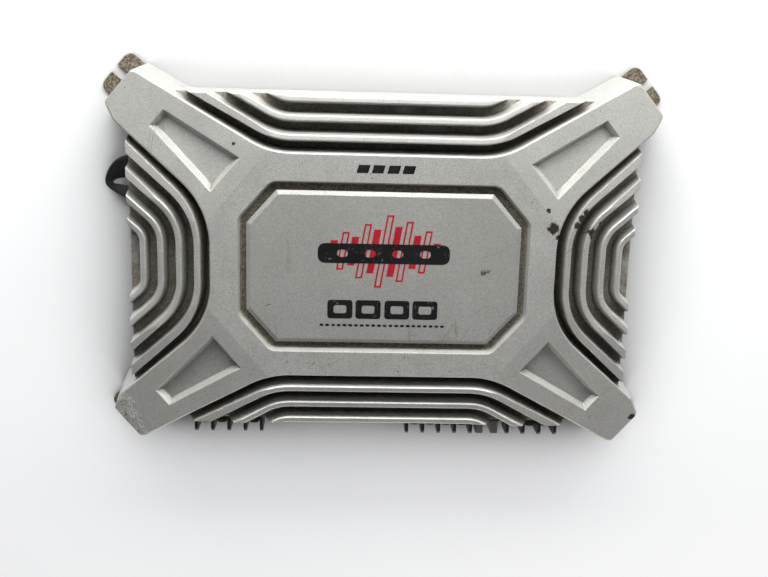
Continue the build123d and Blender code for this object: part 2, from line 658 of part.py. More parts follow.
with BuildPart() as main_board:
    with BuildSketch(Plane.XY.offset(BOARD_BOTTOM_Z)):
        with Locations((0, (BOARD_BACK_Y + BOARD_FRONT_Y) / 2)):
            Rectangle(2 * BOARD_HALF_X, BOARD_BACK_Y - BOARD_FRONT_Y)
        with Locations(*STANDOFFS):
            Circle(SCREW_RADIUS + CLEAR, mode=Mode.SUBTRACT)
    extrude(amount=BOARD_THICKNESS)
save(main_board, "main_board")
save(screws_down(STANDOFFS, BOARD_TOP_Z, BOARD_SCREW_LENGTH, HEAD_RADIUS), "board_screws")


def toroid(name, place, radii, height, wrap):
    """A ring core and its copper winding, as two nodes; the winding leaves a gap."""
    inner_radius, outer_radius = radii
    with BuildPart() as core:
        with BuildSketch(Plane.XY.offset(BOARD_TOP_Z + wrap)):
            with Locations(place):
                Circle(outer_radius)
                Circle(inner_radius, mode=Mode.SUBTRACT)
        extrude(amount=height)
    save(core, f"{name}_core")
    with BuildPart() as winding:
        with BuildSketch(Plane.XY.offset(BOARD_TOP_Z)):
            with Locations(place):
                Circle(outer_radius + wrap)
                Circle(inner_radius - wrap, mode=Mode.SUBTRACT)
                Rectangle(inner_radius, 3 * outer_radius, align=(Align.CENTER, Align.MIN), mode=Mode.SUBTRACT)
        extrude(amount=height + 2 * wrap)
        fillet(winding.faces().sort_by(Axis.Z)[-1].edges().filter_by(GeomType.CIRCLE), wrap / 2)
        with BuildSketch(Plane.XY.offset(BOARD_TOP_Z + wrap)):
            with Locations(place):
                Circle(outer_radius)
                Circle(inner_radius, mode=Mode.SUBTRACT)
        extrude(amount=height, mode=Mode.SUBTRACT)
    save(winding, f"{name}_winding")


toroid("transformer", TRANSFORMER_AT, TRANSFORMER_RADII, TRANSFORMER_HEIGHT, TRANSFORMER_WRAP)
toroid("input_choke", CHOKE_AT, CHOKE_RADII, CHOKE_HEIGHT, CHOKE_WRAP)


def capacitors(name, points, size):
    """A group of upright electrolytic capacitors with a rounded rim and a crimp groove."""
    radius, height = size
    with BuildPart() as group:
        with BuildSketch(Plane.XY.offset(BOARD_TOP_Z)):
            with Locations(*points):
                Circle(radius)
        extrude(amount=height)
        fillet(group.faces().group_by(Axis.Z)[-1].edges(), radius / 10)
        with BuildSketch(Plane.XY.offset(BOARD_TOP_Z + radius / 4)):
            with Locations(*points):
                Circle(radius)
                Circle(radius * CAPACITOR_NECK, mode=Mode.SUBTRACT)
        extrude(amount=radius / 6, mode=Mode.SUBTRACT)
    save(group, name)


capacitors("rail_capacitors", RAIL_CAPACITORS, RAIL_CAPACITOR_SIZE)
capacitors("input_capacitors", INPUT_CAPACITORS, INPUT_CAPACITOR_SIZE)
capacitors("signal_capacitors", SIGNAL_CAPACITORS, SIGNAL_CAPACITOR_SIZE)

with BuildPart() as control_chips:
    with BuildSketch(Plane.XY.offset(BOARD_TOP_Z)):
        with Locations(*CHIPS):
            Rectangle(CHIP_LENGTH, CHIP_WIDTH)
    extrude(amount=CHIP_HEIGHT)
save(control_chips, "control_chips")

with BuildPart() as preamp_board:
    with BuildSketch(Plane.XY.offset(BOARD_TOP_Z)):
        with Locations(PREAMP_BOARD_AT):
            Rectangle(PREAMP_BOARD_LENGTH, BOARD_THICKNESS)
    extrude(amount=PREAMP_BOARD_HEIGHT)
save(preamp_board, "preamp_board")

# Power transistors clamped to the back wall ---------------------------------------------
TRANSISTOR_BACK_Y = CAVITY_HALF_Y - PAD_THICKNESS


def transistors(name, positions):
    """A row of upright power transistors with three legs each."""
    with BuildPart() as row:
        with BuildSketch(Plane.XY.offset(BOARD_TOP_Z + LEG_LENGTH)):
            with Locations(*[(x, TRANSISTOR_BACK_Y - TRANSISTOR_DEPTH / 2) for x in positions]):
                Rectangle(TRANSISTOR_WIDTH, TRANSISTOR_DEPTH)
        extrude(amount=TRANSISTOR_HEIGHT)
        with BuildSketch(Plane.XY.offset(BOARD_TOP_Z)):
            for x in positions:
                with Locations(*[(x + step, TRANSISTOR_BACK_Y - TRANSISTOR_DEPTH / 2) for step in LEG_STEPS]):
                    Rectangle(LEG_WIDTH, LEG_WIDTH)
        extrude(amount=LEG_LENGTH)
    save(row, name)


transistors("output_transistors", OUTPUT_X)
transistors("supply_transistors", SUPPLY_X)


def wall_strip(name, positions, screws_x, levels, back_y, depth):
    """A strip along the transistors, with holes for the clamp screws."""
    bottom_z, top_z = levels
    middle = (positions[0] + positions[-1]) / 2
    length = positions[-1] - positions[0] + TRANSISTOR_WIDTH + 2 * STRIP_MARGIN
    with BuildPart() as strip:
        with BuildSketch(Plane.XZ.offset(-back_y)):
            with Locations((middle, (bottom_z + top_z) / 2)):
                Rectangle(length, top_z - bottom_z)
            with Locations(*[(x, CLAMP_Z) for x in screws_x]):
                Circle(SCREW_RADIUS + CLEAR, mode=Mode.SUBTRACT)
        extrude(amount=depth)
    save(strip, name)


OUTPUT_CLAMPS_X = CLAMP_SCREWS_X[:4]
SUPPLY_CLAMPS_X = CLAMP_SCREWS_X[4:]
TRANSISTOR_FRONT_Y = TRANSISTOR_BACK_Y - TRANSISTOR_DEPTH
for side, positions, screws_x in [
    ("output", OUTPUT_X, OUTPUT_CLAMPS_X),
    ("supply", SUPPLY_X, SUPPLY_CLAMPS_X),
]:
    wall_strip(f"thermal_pad_{side}", positions, screws_x, PAD_Z, CAVITY_HALF_Y, PAD_THICKNESS)
    wall_strip(f"clamp_bar_{side}", positions, screws_x, CLAMP_BAR_Z, TRANSISTOR_FRONT_Y, CLAMP_DEPTH)
clamp_front_y = TRANSISTOR_FRONT_Y - CLAMP_DEPTH
clamp_points = [(x, CLAMP_Z) for x in CLAMP_SCREWS_X]
clamp_length = CAVITY_HALF_Y - clamp_front_y + BLIND_HOLE_DEPTH - CLEAR
save(screws_along_y(clamp_points, clamp_front_y, 1, clamp_length, HEAD_RADIUS), "clamp_screws")

# Terminal panel -------------------------------------------------------------------------
BLOCKS = [("speaker_terminals_front", LEFT_BLOCK_FIRST_X, 4)]
BLOCKS += [("speaker_terminals_rear", RIGHT_BLOCK_FIRST_X, 4)]
BLOCKS += [("power_terminals", POWER_BLOCK_FIRST_X, 3)]


def block_span(first_x, positions):
    """Middle and width in X of a barrier block, from its first barrier."""
    width = positions * TERMINAL_PITCH + BARRIER_WIDTH
    return first_x + positions * TERMINAL_PITCH / 2, width


FUSE_MIDDLE_X = sum(FUSE_POSITIONS_X) / 2
RCA_MIDDLE_X = sum(RCA_POSITIONS_X) / 2
BLOCK_MIDDLE_Z = (TERMINAL_BOTTOM_Z + TERMINAL_TOP_Z) / 2
BLOCK_HEIGHT = TERMINAL_TOP_Z - TERMINAL_BOTTOM_Z
with BuildPart() as terminal_panel:
    with BuildSketch(Plane.XZ.offset(CAVITY_HALF_Y)):
        with Locations((0, (PANEL_BOTTOM_Z + PANEL_TOP_Z) / 2)):
            Rectangle(2 * PANEL_HALF_X, PANEL_TOP_Z - PANEL_BOTTOM_Z)
        with Locations(*PANEL_SCREWS):
            Circle(SCREW_RADIUS + CLEAR, mode=Mode.SUBTRACT)
        for name, first_x, positions in BLOCKS:
            middle, width = block_span(first_x, positions)
            with Locations((middle, BLOCK_MIDDLE_Z)):
                Rectangle(width + 4 * CLEAR, BLOCK_HEIGHT + 4 * CLEAR, mode=Mode.SUBTRACT)
        with Locations((FUSE_MIDDLE_X, BLOCK_MIDDLE_Z)):
            Rectangle(FUSE_HOLDER_WIDTH + 4 * CLEAR, FUSE_HOLDER_HEIGHT + 4 * CLEAR, mode=Mode.SUBTRACT)
        for x in RCA_POSITIONS_X:
            with Locations(*[(x, z) for z in RCA_POSITIONS_Z]):
                Circle(RCA_NECK_RADIUS + CLEAR, mode=Mode.SUBTRACT)
        with Locations(*[(x, KNOB_Z) for name, x in KNOBS]):
            Circle(KNOB_RADIUS + KNOB_GAP, mode=Mode.SUBTRACT)
        with Locations(*[(SWITCH_X, z) for name, z in SWITCHES]):
            Rectangle(SWITCH_SLOT_LENGTH, SWITCH_SLOT_HEIGHT, mode=Mode.SUBTRACT)
        with Locations(LED_POSITION):
            Circle(SCREW_RADIUS + CLEAR, mode=Mode.SUBTRACT)
    extrude(amount=-PANEL_THICKNESS)
save(terminal_panel, "terminal_panel")
save(screws_along_y(PANEL_SCREWS, PANEL_INNER_Y, -1, PANEL_SCREW_LENGTH, HEAD_RADIUS), "panel_screws")

# Barrier terminal blocks ----------------------------------------------------------------
terminal_points = []
for name, first_x, positions in BLOCKS:
    middle, width = block_span(first_x, positions)
    points = [(first_x + TERMINAL_PITCH * (i + 0.5), TERMINAL_SCREW_Z) for i in range(positions)]
    terminal_points += points
    with BuildPart() as block:
        with BuildSketch(Plane.XZ.offset(-BLOCK_FRONT_Y)):
            with Locations((middle, BLOCK_MIDDLE_Z)):
                Rectangle(width, BLOCK_HEIGHT)
        extrude(amount=BLOCK_FRONT_Y - BOARD_FRONT_Y + CLEAR)
        with BuildSketch(Plane.XZ.offset(-BOARD_FRONT_Y + CLEAR)):
            with Locations((middle, (BOARD_TOP_Z + TERMINAL_TOP_Z) / 2)):
                Rectangle(width, TERMINAL_TOP_Z - BOARD_TOP_Z)
        extrude(amount=-BLOCK_TAIL)
        for i in range(positions + 1):
            with BuildSketch(Plane.YZ.offset(first_x + TERMINAL_PITCH * i - BARRIER_WIDTH / 2)):
                Polygon(*BARRIER_PROFILE, align=None)
            extrude(amount=BARRIER_WIDTH)
        with BuildSketch(Plane.XZ.offset(-BLOCK_FRONT_Y)):
            with Locations((middle, TERMINAL_BOTTOM_Z)):
                Rectangle(width, SHELF_THICKNESS, align=(Align.CENTER, Align.MIN))
        extrude(amount=SHELF_DEPTH)
        with BuildSketch(Plane.XZ.offset(-BLOCK_FRONT_Y)):
            with Locations(*points):
                Circle(SCREW_RADIUS + CLEAR)
        extrude(amount=-TERMINAL_SCREW_DEPTH, mode=Mode.SUBTRACT)
    save(block, name)

with BuildPart() as terminal_plates:
    with BuildSketch(Plane.XZ.offset(-BLOCK_FRONT_Y)):
        with Locations(*terminal_points):
            Rectangle(TERMINAL_PLATE_SIZE, TERMINAL_PLATE_SIZE)
            Circle(SCREW_RADIUS + CLEAR, mode=Mode.SUBTRACT)
    extrude(amount=TERMINAL_PLATE_THICKNESS)
save(terminal_plates, "terminal_plates")

clamp_back_y = BLOCK_FRONT_Y - TERMINAL_PLATE_THICKNESS - WIRE_GAP
with BuildPart() as clamp_plates:
    with BuildSketch(Plane.XZ.offset(-clamp_back_y)):
        with Locations(*terminal_points):
            Rectangle(TERMINAL_PLATE_SIZE, TERMINAL_PLATE_SIZE)
            Circle(SCREW_RADIUS + CLEAR, mode=Mode.SUBTRACT)
    extrude(amount=TERMINAL_PLATE_THICKNESS)
save(clamp_plates, "clamp_plates")
screw_head_y = clamp_back_y - TERMINAL_PLATE_THICKNESS
screw_length = TERMINAL_SCREW_DEPTH + BLOCK_FRONT_Y - screw_head_y - CLEAR
save(screws_along_y(terminal_points, screw_head_y, 1, screw_length, TERMINAL_HEAD_RADIUS), "terminal_screws")

# Fuses ----------------------------------------------------------------------------------
with BuildPart() as fuse_holder:
    with BuildSketch(Plane.XZ.offset(-BLOCK_FRONT_Y)):
        with Locations((FUSE_MIDDLE_X, BLOCK_MIDDLE_Z)):
            Rectangle(FUSE_HOLDER_WIDTH, FUSE_HOLDER_HEIGHT)
    extrude(amount=BLOCK_FRONT_Y - BOARD_FRONT_Y + CLEAR)
    with BuildSketch(Plane.XZ.offset(-BOARD_FRONT_Y + CLEAR)):
        with Locations((FUSE_MIDDLE_X, (BOARD_TOP_Z + TERMINAL_TOP_Z) / 2)):
            Rectangle(FUSE_HOLDER_WIDTH, TERMINAL_TOP_Z - BOARD_TOP_Z)
    extrude(amount=-BLOCK_TAIL)
    with BuildSketch(Plane.XZ.offset(-BLOCK_FRONT_Y)):
        for x in FUSE_POSITIONS_X:
            with Locations(*[(x, BLOCK_MIDDLE_Z + step) for step in (-FUSE_BLADE_STEP, FUSE_BLADE_STEP)]):
                Rectangle(FUSE_BLADE_THICKNESS + 2 * CLEAR, FUSE_BLADE_WIDTH + 2 * CLEAR)
    extrude(amount=-FUSE_BLADE_LENGTH - CLEAR, mode=Mode.SUBTRACT)
save(fuse_holder, "fuse_holder")

with BuildPart() as fuse_bodies:
    with BuildSketch(Plane.XZ.offset(-BLOCK_FRONT_Y)):
        with Locations(*[(x, BLOCK_MIDDLE_Z) for x in FUSE_POSITIONS_X]):
            RectangleRounded(FUSE_WIDTH, FUSE_HEIGHT, FUSE_CORNER)
    extrude(amount=FUSE_DEPTH)
    with BuildSketch(Plane.XZ.offset(-BLOCK_FRONT_Y)):
        for x in FUSE_POSITIONS_X:
            with Locations(*[(x, BLOCK_MIDDLE_Z + step) for step in (-FUSE_BLADE_STEP, FUSE_BLADE_STEP)]):
                Rectangle(FUSE_BLADE_THICKNESS, FUSE_BLADE_WIDTH)
    extrude(amount=FUSE_BLADE_SEAT, mode=Mode.SUBTRACT)
save(fuse_bodies, "fuse_bodies")

with BuildPart() as fuse_blades:
    with BuildSketch(Plane.XZ.offset(-BLOCK_FRONT_Y + FUSE_BLADE_SEAT)):
        for x in FUSE_POSITIONS_X:
            with Locations(*[(x, BLOCK_MIDDLE_Z + step) for step in (-FUSE_BLADE_STEP, FUSE_BLADE_STEP)]):
                Rectangle(FUSE_BLADE_THICKNESS, FUSE_BLADE_WIDTH)
    extrude(amount=-FUSE_BLADE_SEAT - FUSE_BLADE_LENGTH)
save(fuse_blades, "fuse_blades")

# Phono input jacks ----------------------------------------------------------------------
RCA_POINTS = [(x, z) for x in RCA_POSITIONS_X for z in RCA_POSITIONS_Z]
with BuildPart() as phono_block:
    with BuildSketch(Plane.XZ.offset(-PANEL_INNER_Y)):
        with Locations((RCA_MIDDLE_X, (RCA_BLOCK_BOTTOM_Z + RCA_BLOCK_TOP_Z) / 2)):
            Rectangle(RCA_BLOCK_WIDTH, RCA_BLOCK_TOP_Z - RCA_BLOCK_BOTTOM_Z)
    extrude(amount=PANEL_INNER_Y - BOARD_FRONT_Y + CLEAR)
    with BuildSketch(Plane.XZ.offset(-BOARD_FRONT_Y + CLEAR)):
        with Locations((RCA_MIDDLE_X, (BOARD_TOP_Z + RCA_BLOCK_TOP_Z) / 2)):
            Rectangle(RCA_BLOCK_WIDTH, RCA_BLOCK_TOP_Z - BOARD_TOP_Z)
    extrude(amount=-BLOCK_TAIL)
save(phono_block, "phono_block")


def rings_along_y(name, points, start_y, length, outer_radius, inner_radius):
    """A group of level tubes that start at a plane and run towards -Y."""
    with BuildPart() as group:
        with BuildSketch(Plane.XZ.offset(-start_y)):
            with Locations(*points):
                Circle(outer_radius)
                Circle(inner_radius, mode=Mode.SUBTRACT)
        extrude(amount=length)
    save(group, name)


with BuildPart() as phono_shells:
    with BuildSketch(Plane.XZ.offset(-PANEL_INNER_Y)):
        with Locations(*RCA_POINTS):
            Circle(RCA_NECK_RADIUS)
    extrude(amount=PANEL_THICKNESS)
    with BuildSketch(Plane.XZ.offset(CAVITY_HALF_Y)):
        with Locations(*RCA_POINTS):
            Circle(RCA_RADIUS)
    extrude(amount=RCA_LENGTH)
    with BuildSketch(Plane.XZ.offset(-PANEL_INNER_Y)):
        with Locations(*RCA_POINTS):
            Circle(RCA_INNER_RADIUS)
    extrude(amount=PANEL_THICKNESS + RCA_LENGTH, mode=Mode.SUBTRACT)
save(phono_shells, "phono_shells")
contact_radius = RCA_PIN_RADIUS + RCA_CONTACT_WALL
rings_along_y(
    "phono_insulators", RCA_POINTS, PANEL_INNER_Y, RCA_INSULATOR_LENGTH, RCA_INNER_RADIUS, contact_radius
)
rings_along_y(
    "phono_contacts", RCA_POINTS, PANEL_INNER_Y, RCA_CONTACT_LENGTH, contact_radius, RCA_PIN_RADIUS
)

# Level and filter controls --------------------------------------------------------------
for name, x in KNOBS:
    with BuildPart() as knob:
        with BuildSketch(Plane.XZ.offset(KNOB_FRONT_REACH)):
            with Locations((x, KNOB_Z)):
                Circle(KNOB_RADIUS)
        extrude(amount=-KNOB_DEPTH)
        with BuildSketch(Plane.XZ.offset(KNOB_FRONT_REACH)):
            with Locations((x, KNOB_Z)):
                Rectangle(KNOB_SLOT_WIDTH, 2 * KNOB_RADIUS)
        extrude(amount=-KNOB_SLOT_DEPTH, mode=Mode.SUBTRACT)
        with BuildSketch(Plane.XZ.offset(KNOB_FRONT_REACH - KNOB_DEPTH)):
            with Locations((x, KNOB_Z)):
                Circle(SCREW_RADIUS)
        extrude(amount=-KNOB_SHAFT_LENGTH)
    save(knob, name)

with BuildPart() as control_pots:
    with BuildSketch(Plane.XZ.offset(POT_FRONT_REACH)):
        with Locations(*[(x, (BOARD_TOP_Z + POT_TOP_Z) / 2) for name, x in KNOBS]):
            Rectangle(POT_WIDTH, POT_TOP_Z - BOARD_TOP_Z)
    extrude(amount=-POT_DEPTH)
    with BuildSketch(Plane.XZ.offset(POT_FRONT_REACH)):
        with Locations(*[(x, KNOB_Z) for name, x in KNOBS]):
            Circle(SCREW_RADIUS + CLEAR)
    extrude(amount=-KNOB_SHAFT_LENGTH - CLEAR, mode=Mode.SUBTRACT)
save(control_pots, "control_pots")

with BuildPart() as switch_housing:
    with BuildSketch(Plane.XZ.offset(-PANEL_INNER_Y)):
        with Locations((SWITCH_X, (BOARD_TOP_Z + SWITCH_TOP_Z) / 2)):
            Rectangle(SWITCH_WIDTH, SWITCH_TOP_Z - BOARD_TOP_Z)
    extrude(amount=-SWITCH_DEPTH)
    with BuildSketch(Plane.XZ.offset(-PANEL_INNER_Y)):
        with Locations(*[(SWITCH_X, z) for name, z in SWITCHES]):
            Rectangle(SWITCH_SLOT_LENGTH, SWITCH_SLOT_HEIGHT)
    extrude(amount=-SWITCH_CHANNEL, mode=Mode.SUBTRACT)
save(switch_housing, "switch_housing")

for name, z in SWITCHES:
    with BuildPart() as slider:
        with BuildSketch(Plane.XZ.offset(SLIDER_FRONT_REACH)):
            with Locations((SWITCH_X - SWITCH_TRAVEL / 2, z)):
                Rectangle(SLIDER_WIDTH, SLIDER_HEIGHT)
        extrude(amount=-SLIDER_DEPTH)
        chamfer(slider.faces().sort_by(Axis.Y)[0].edges(), SLIDER_CHAMFER)
    save(slider, name)

with BuildPart() as power_light:
    with BuildSketch(Plane.XZ.offset(CAVITY_HALF_Y + LED_STANDS_OUT)):
        with Locations(LED_POSITION):
            Circle(SCREW_RADIUS)
    extrude(amount=-LED_LENGTH)
    fillet(power_light.faces().sort_by(Axis.Y)[0].edges(), LED_ROUND)
save(power_light, "power_light")
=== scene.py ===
import json
import math

import bmesh
import bpy
from mathutils import Matrix, Vector


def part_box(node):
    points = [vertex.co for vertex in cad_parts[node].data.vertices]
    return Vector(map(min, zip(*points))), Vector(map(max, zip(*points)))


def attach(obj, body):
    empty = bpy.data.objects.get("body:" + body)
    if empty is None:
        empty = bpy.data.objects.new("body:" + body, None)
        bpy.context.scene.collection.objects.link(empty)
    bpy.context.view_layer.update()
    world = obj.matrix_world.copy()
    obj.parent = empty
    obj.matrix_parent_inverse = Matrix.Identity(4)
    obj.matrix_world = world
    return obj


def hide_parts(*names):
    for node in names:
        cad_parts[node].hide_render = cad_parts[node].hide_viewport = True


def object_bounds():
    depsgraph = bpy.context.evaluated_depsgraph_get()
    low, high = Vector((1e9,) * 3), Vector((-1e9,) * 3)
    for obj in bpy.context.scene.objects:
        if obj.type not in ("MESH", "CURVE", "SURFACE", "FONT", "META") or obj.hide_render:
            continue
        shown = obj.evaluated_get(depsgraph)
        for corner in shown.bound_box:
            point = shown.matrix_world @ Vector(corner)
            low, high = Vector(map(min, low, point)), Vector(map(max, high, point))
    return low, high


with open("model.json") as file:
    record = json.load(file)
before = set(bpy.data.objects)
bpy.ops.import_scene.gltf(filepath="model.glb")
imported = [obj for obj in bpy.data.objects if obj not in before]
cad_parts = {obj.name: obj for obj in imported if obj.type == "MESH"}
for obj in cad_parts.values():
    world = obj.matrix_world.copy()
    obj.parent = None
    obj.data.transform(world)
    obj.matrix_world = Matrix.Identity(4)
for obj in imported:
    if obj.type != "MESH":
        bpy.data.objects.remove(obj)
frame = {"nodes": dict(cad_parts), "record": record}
CAD_BOX = [list(corner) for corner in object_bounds()]
MM = 0.001
NODES = frame["nodes"]
SCENE = bpy.context.scene
SCENE.view_settings.view_transform = "Standard"

# Camera and lights, set from the object's box --------------------------------------------
TOP_Z = CAD_BOX[1][2]
CAMERA_FROM_TOP_CENTRE = Vector((-0.029, 0.134, 0.637))
CAMERA_TILT = math.radians(13.02)
CAMERA_PAN = math.radians(2.59)
CAMERA_ROLL = math.radians(-1.04)
CAMERA_LENS = 46.875
CAMERA_SENSOR = 36.0
CAMERA_NEAR = 0.01
# name: (place, width, height, power, colour), in metres and watts
LIGHTS = {
    "key": ((0.03, 0.58, 0.32), 1.4, 0.26, 12.0, (1.0, 0.99, 0.96)),
    "bounce": ((0.14, -0.62, 0.13), 0.8, 0.2, 1.7, (1.0, 0.95, 0.90)),
    "front": ((0.15, 0.90, 1.3), 0.7, 0.7, 4.0, (0.98, 0.99, 1.0)),
}
WORLD_COLOUR = (0.93, 0.95, 1.0)
WORLD_LIGHT = 0.06
WORLD_BACKDROP = 0.80
FLOOR_HALF = 4
FLOOR_THICK = 0.01
FLOOR_GLOW = 0.60
FLOOR_GLOW_COLOUR = (0.97, 0.98, 1.0)
FLOOR_SHADE_REACH = 0.11
FLOOR_SHADE = (0.56, 0.92)


def make_camera():
    """A camera over the cover, leaning towards the plain long side."""
    camera = bpy.data.objects.new("camera", bpy.data.cameras.new("camera"))
    SCENE.collection.objects.link(camera)
    camera.data.lens = CAMERA_LENS
    camera.data.sensor_width = CAMERA_SENSOR
    camera.data.clip_start = CAMERA_NEAR
    turn = Matrix.Rotation(-CAMERA_TILT, 4, "X")
    turn = turn @ Matrix.Rotation(-CAMERA_PAN, 4, "Y") @ Matrix.Rotation(-CAMERA_ROLL, 4, "Z")
    place = Vector((0, 0, TOP_Z)) + CAMERA_FROM_TOP_CENTRE
    camera.matrix_world = Matrix.Translation(place) @ turn
    SCENE.camera = camera


def area_light(name, place, width, height, power, colour):
    """A soft light panel that faces the object's middle."""
    light = bpy.data.objects.new(name, bpy.data.lights.new(name, "AREA"))
    SCENE.collection.objects.link(light)
    light.data.shape = "RECTANGLE"
    light.data.size = width
    light.data.size_y = height
    light.data.energy = power
    light.data.color = colour
    light.location = place
    aim = Vector((0, 0, TOP_Z / 2)) - Vector(place)
    light.rotation_euler = aim.to_track_quat("-Z", "Y").to_euler()
    light.visible_camera = False


def make_world():
    """A pale backdrop that adds only a little light of its own."""
    world = bpy.data.worlds.new("surround")
    world.use_nodes = True
    nodes = world.node_tree.nodes
    links = world.node_tree.links
    light = nodes["Background"]
    backdrop = nodes.new("ShaderNodeBackground")
    for shader, strength in ((light, WORLD_LIGHT), (backdrop, WORLD_BACKDROP)):
        shader.inputs["Color"].default_value = (*WORLD_COLOUR, 1)
        shader.inputs["Strength"].default_value = strength
    path = nodes.new("ShaderNodeLightPath")
    choice = nodes.new("ShaderNodeMixShader")
    links.new(path.outputs["Is Camera Ray"], choice.inputs["Fac"])
    links.new(light.outputs["Background"], choice.inputs[1])
    links.new(backdrop.outputs["Background"], choice.inputs[2])
    links.new(choice.outputs["Shader"], nodes["World Output"].inputs["Surface"])
    SCENE.world = world


# Small shader-node helpers ---------------------------------------------------------------
AO_SAMPLES = 6
BEVEL_SAMPLES = 4
STROKE_WANDER = 0.006
SPOT_RAGGED = 2.2
SPOT_EDGE = (1.72, 1.84)


class Shader:
    """Builds one node material; every method returns an output socket."""

    def __init__(self, name):
        self.material = bpy.data.materials.new(name)
        self.material.use_nodes = True
        self.tree = self.material.node_tree
        self.tree.nodes.clear()
        self.surface = self.node("ShaderNodeBsdfPrincipled")
        output = self.node("ShaderNodeOutputMaterial")
        self.tree.links.new(self.surface.outputs[0], output.inputs["Surface"])
        self.place = self.node("ShaderNodeTexCoord").outputs["Object"]

    def node(self, kind):
        return self.tree.nodes.new(kind)

    def put(self, socket, value):
        """Link a socket, or set a constant."""
        if isinstance(value, bpy.types.NodeSocket):
            self.tree.links.new(value, socket)
        elif isinstance(value, (tuple, list)) and len(value) == 3 and socket.type == "RGBA":
            socket.default_value = (*value, 1)
        else:
            socket.default_value = value

    def stretched(self, scale, turn=(0, 0, 0)):
        """The place, turned and scaled unevenly, for streaks and scratches."""
        mapping = self.node("ShaderNodeMapping")
        self.put(mapping.inputs["Vector"], self.place)
        mapping.inputs["Rotation"].default_value = turn
        mapping.inputs["Scale"].default_value = scale
        return mapping.outputs[0]

    def noise(self, scale, detail=3.0, rough=0.55, place=None):
        noise = self.node("ShaderNodeTexNoise")
        self.put(noise.inputs["Vector"], place or self.place)
        noise.inputs["Scale"].default_value = scale
        noise.inputs["Detail"].default_value = detail
        noise.inputs["Roughness"].default_value = rough
        return noise.outputs["Fac"]

    def cells(self, scale, output="Distance", feature="F1", place=None):
        cells = self.node("ShaderNodeTexVoronoi")
        cells.feature = feature
        self.put(cells.inputs["Vector"], place or self.place)
        cells.inputs["Scale"].default_value = scale
        return cells.outputs[output]

    def ramp(self, value, *stops):
        """A colour ramp from (position, colour) stops."""
        ramp = self.node("ShaderNodeValToRGB")
        self.put(ramp.inputs["Fac"], value)
        elements = ramp.color_ramp.elements
        while len(elements) < len(stops):
            elements.new(0.5)
        for element, (position, colour) in zip(elements, stops):
            element.position = position
            element.color = (*colour, 1)
        return ramp.outputs["Color"]

    def band(self, value, low, high):
        """0 below low, 1 above high, a straight slope between."""
        span = self.node("ShaderNodeMapRange")
        self.put(span.inputs["Value"], value)
        span.inputs["From Min"].default_value = low
        span.inputs["From Max"].default_value = high
        return span.outputs["Result"]

    def math(self, operation, a, b=0.0):
        node = self.node("ShaderNodeMath")
        node.operation = operation
        self.put(node.inputs[0], a)
        self.put(node.inputs[1], b)
        return node.outputs[0]

    def mix(self, factor, a, b):
        """a where the factor is 0, b where it is 1; inputs 6 and 7 are the node's colours."""
        mix = self.node("ShaderNodeMix")
        mix.data_type = "RGBA"
        self.put(mix.inputs[0], factor)
        self.put(mix.inputs[6], a)
        self.put(mix.inputs[7], b)
        return mix.outputs[2]

    def inverse(self, value):
        return self.math("SUBTRACT", 1.0, value)

    def times(self, a, b):
        return self.math("MULTIPLY", a, b)

    def either(self, a, b):
        return self.math("MAXIMUM", a, b)

    def openness(self, distance):
        """1 on a flat face or an edge, lower in a groove."""
        open_sky = self.node("ShaderNodeAmbientOcclusion")
        open_sky.samples = AO_SAMPLES
        open_sky.only_local = True
        open_sky.inputs["Distance"].default_value = distance
        return open_sky.outputs["AO"]

    def rounding(self, radius):
        """A surface normal that runs smoothly round sharp edges."""
        rounded = self.node("ShaderNodeBevel")
        rounded.samples = BEVEL_SAMPLES
        rounded.inputs["Radius"].default_value = radius
        return rounded.outputs[0]

    def edges(self, rounded):
        """Where a rounded normal differs from the true one: along edges."""
        geometry = self.node("ShaderNodeNewGeometry")
        product = self.node("ShaderNodeVectorMath")
        product.operation = "DOT_PRODUCT"
        self.put(product.inputs[0], rounded)
        self.put(product.inputs[1], geometry.outputs["Normal"])
        return self.inverse(product.outputs["Value"])

    def axis(self, name):
        """One coordinate of the place, in metres."""
        parts = self.node("ShaderNodeSeparateXYZ")
        self.put(parts.inputs[0], self.place)
        return parts.outputs[name]

    def facing_up(self):
        geometry = self.node("ShaderNodeNewGeometry")
        parts = self.node("ShaderNodeSeparateXYZ")
        self.put(parts.inputs[0], geometry.outputs["Normal"])
        return parts.outputs["Z"]

    def bump(self, height, distance, strength=1.0, normal=None):
        bump = self.node("ShaderNodeBump")
        self.put(bump.inputs["Height"], height)
        bump.inputs["Distance"].default_value = distance
        bump.inputs["Strength"].default_value = strength
        if normal is not None:
            self.put(bump.inputs["Normal"], normal)
        return bump.outputs[0]

    def strokes(self, lines):
        """1 on thin uneven lines given as (x0, y0, x1, y1, half width) in metres, 0 elsewhere."""
        wander = self.times(self.math("SUBTRACT", self.noise(55, 2, 0.5), 0.5), STROKE_WANDER)
        found = None
        for x0, y0, x1, y1, half in lines:
            turn = math.atan2(y1 - y0, x1 - x0)
            aligned = self.node("ShaderNodeMapping")
            aligned.vector_type = "TEXTURE"
            self.put(aligned.inputs["Vector"], self.place)
            aligned.inputs["Location"].default_value = ((x0 + x1) / 2, (y0 + y1) / 2, 0)
            aligned.inputs["Rotation"].default_value = (0, 0, turn)
            parts = self.node("ShaderNodeSeparateXYZ")
            self.put(parts.inputs[0], aligned.outputs[0])
            across = self.math("ABSOLUTE", self.math("ADD", parts.outputs["Y"], wander))
            along = self.math("ABSOLUTE", parts.outputs["X"])
            reach = math.hypot(x1 - x0, y1 - y0) / 2
            line = self.inverse(self.band(across, half * 0.6, half))
            line = self.times(line, self.inverse(self.band(along, reach * 0.9, reach)))
            found = line if found is None else self.either(found, line)
        return found

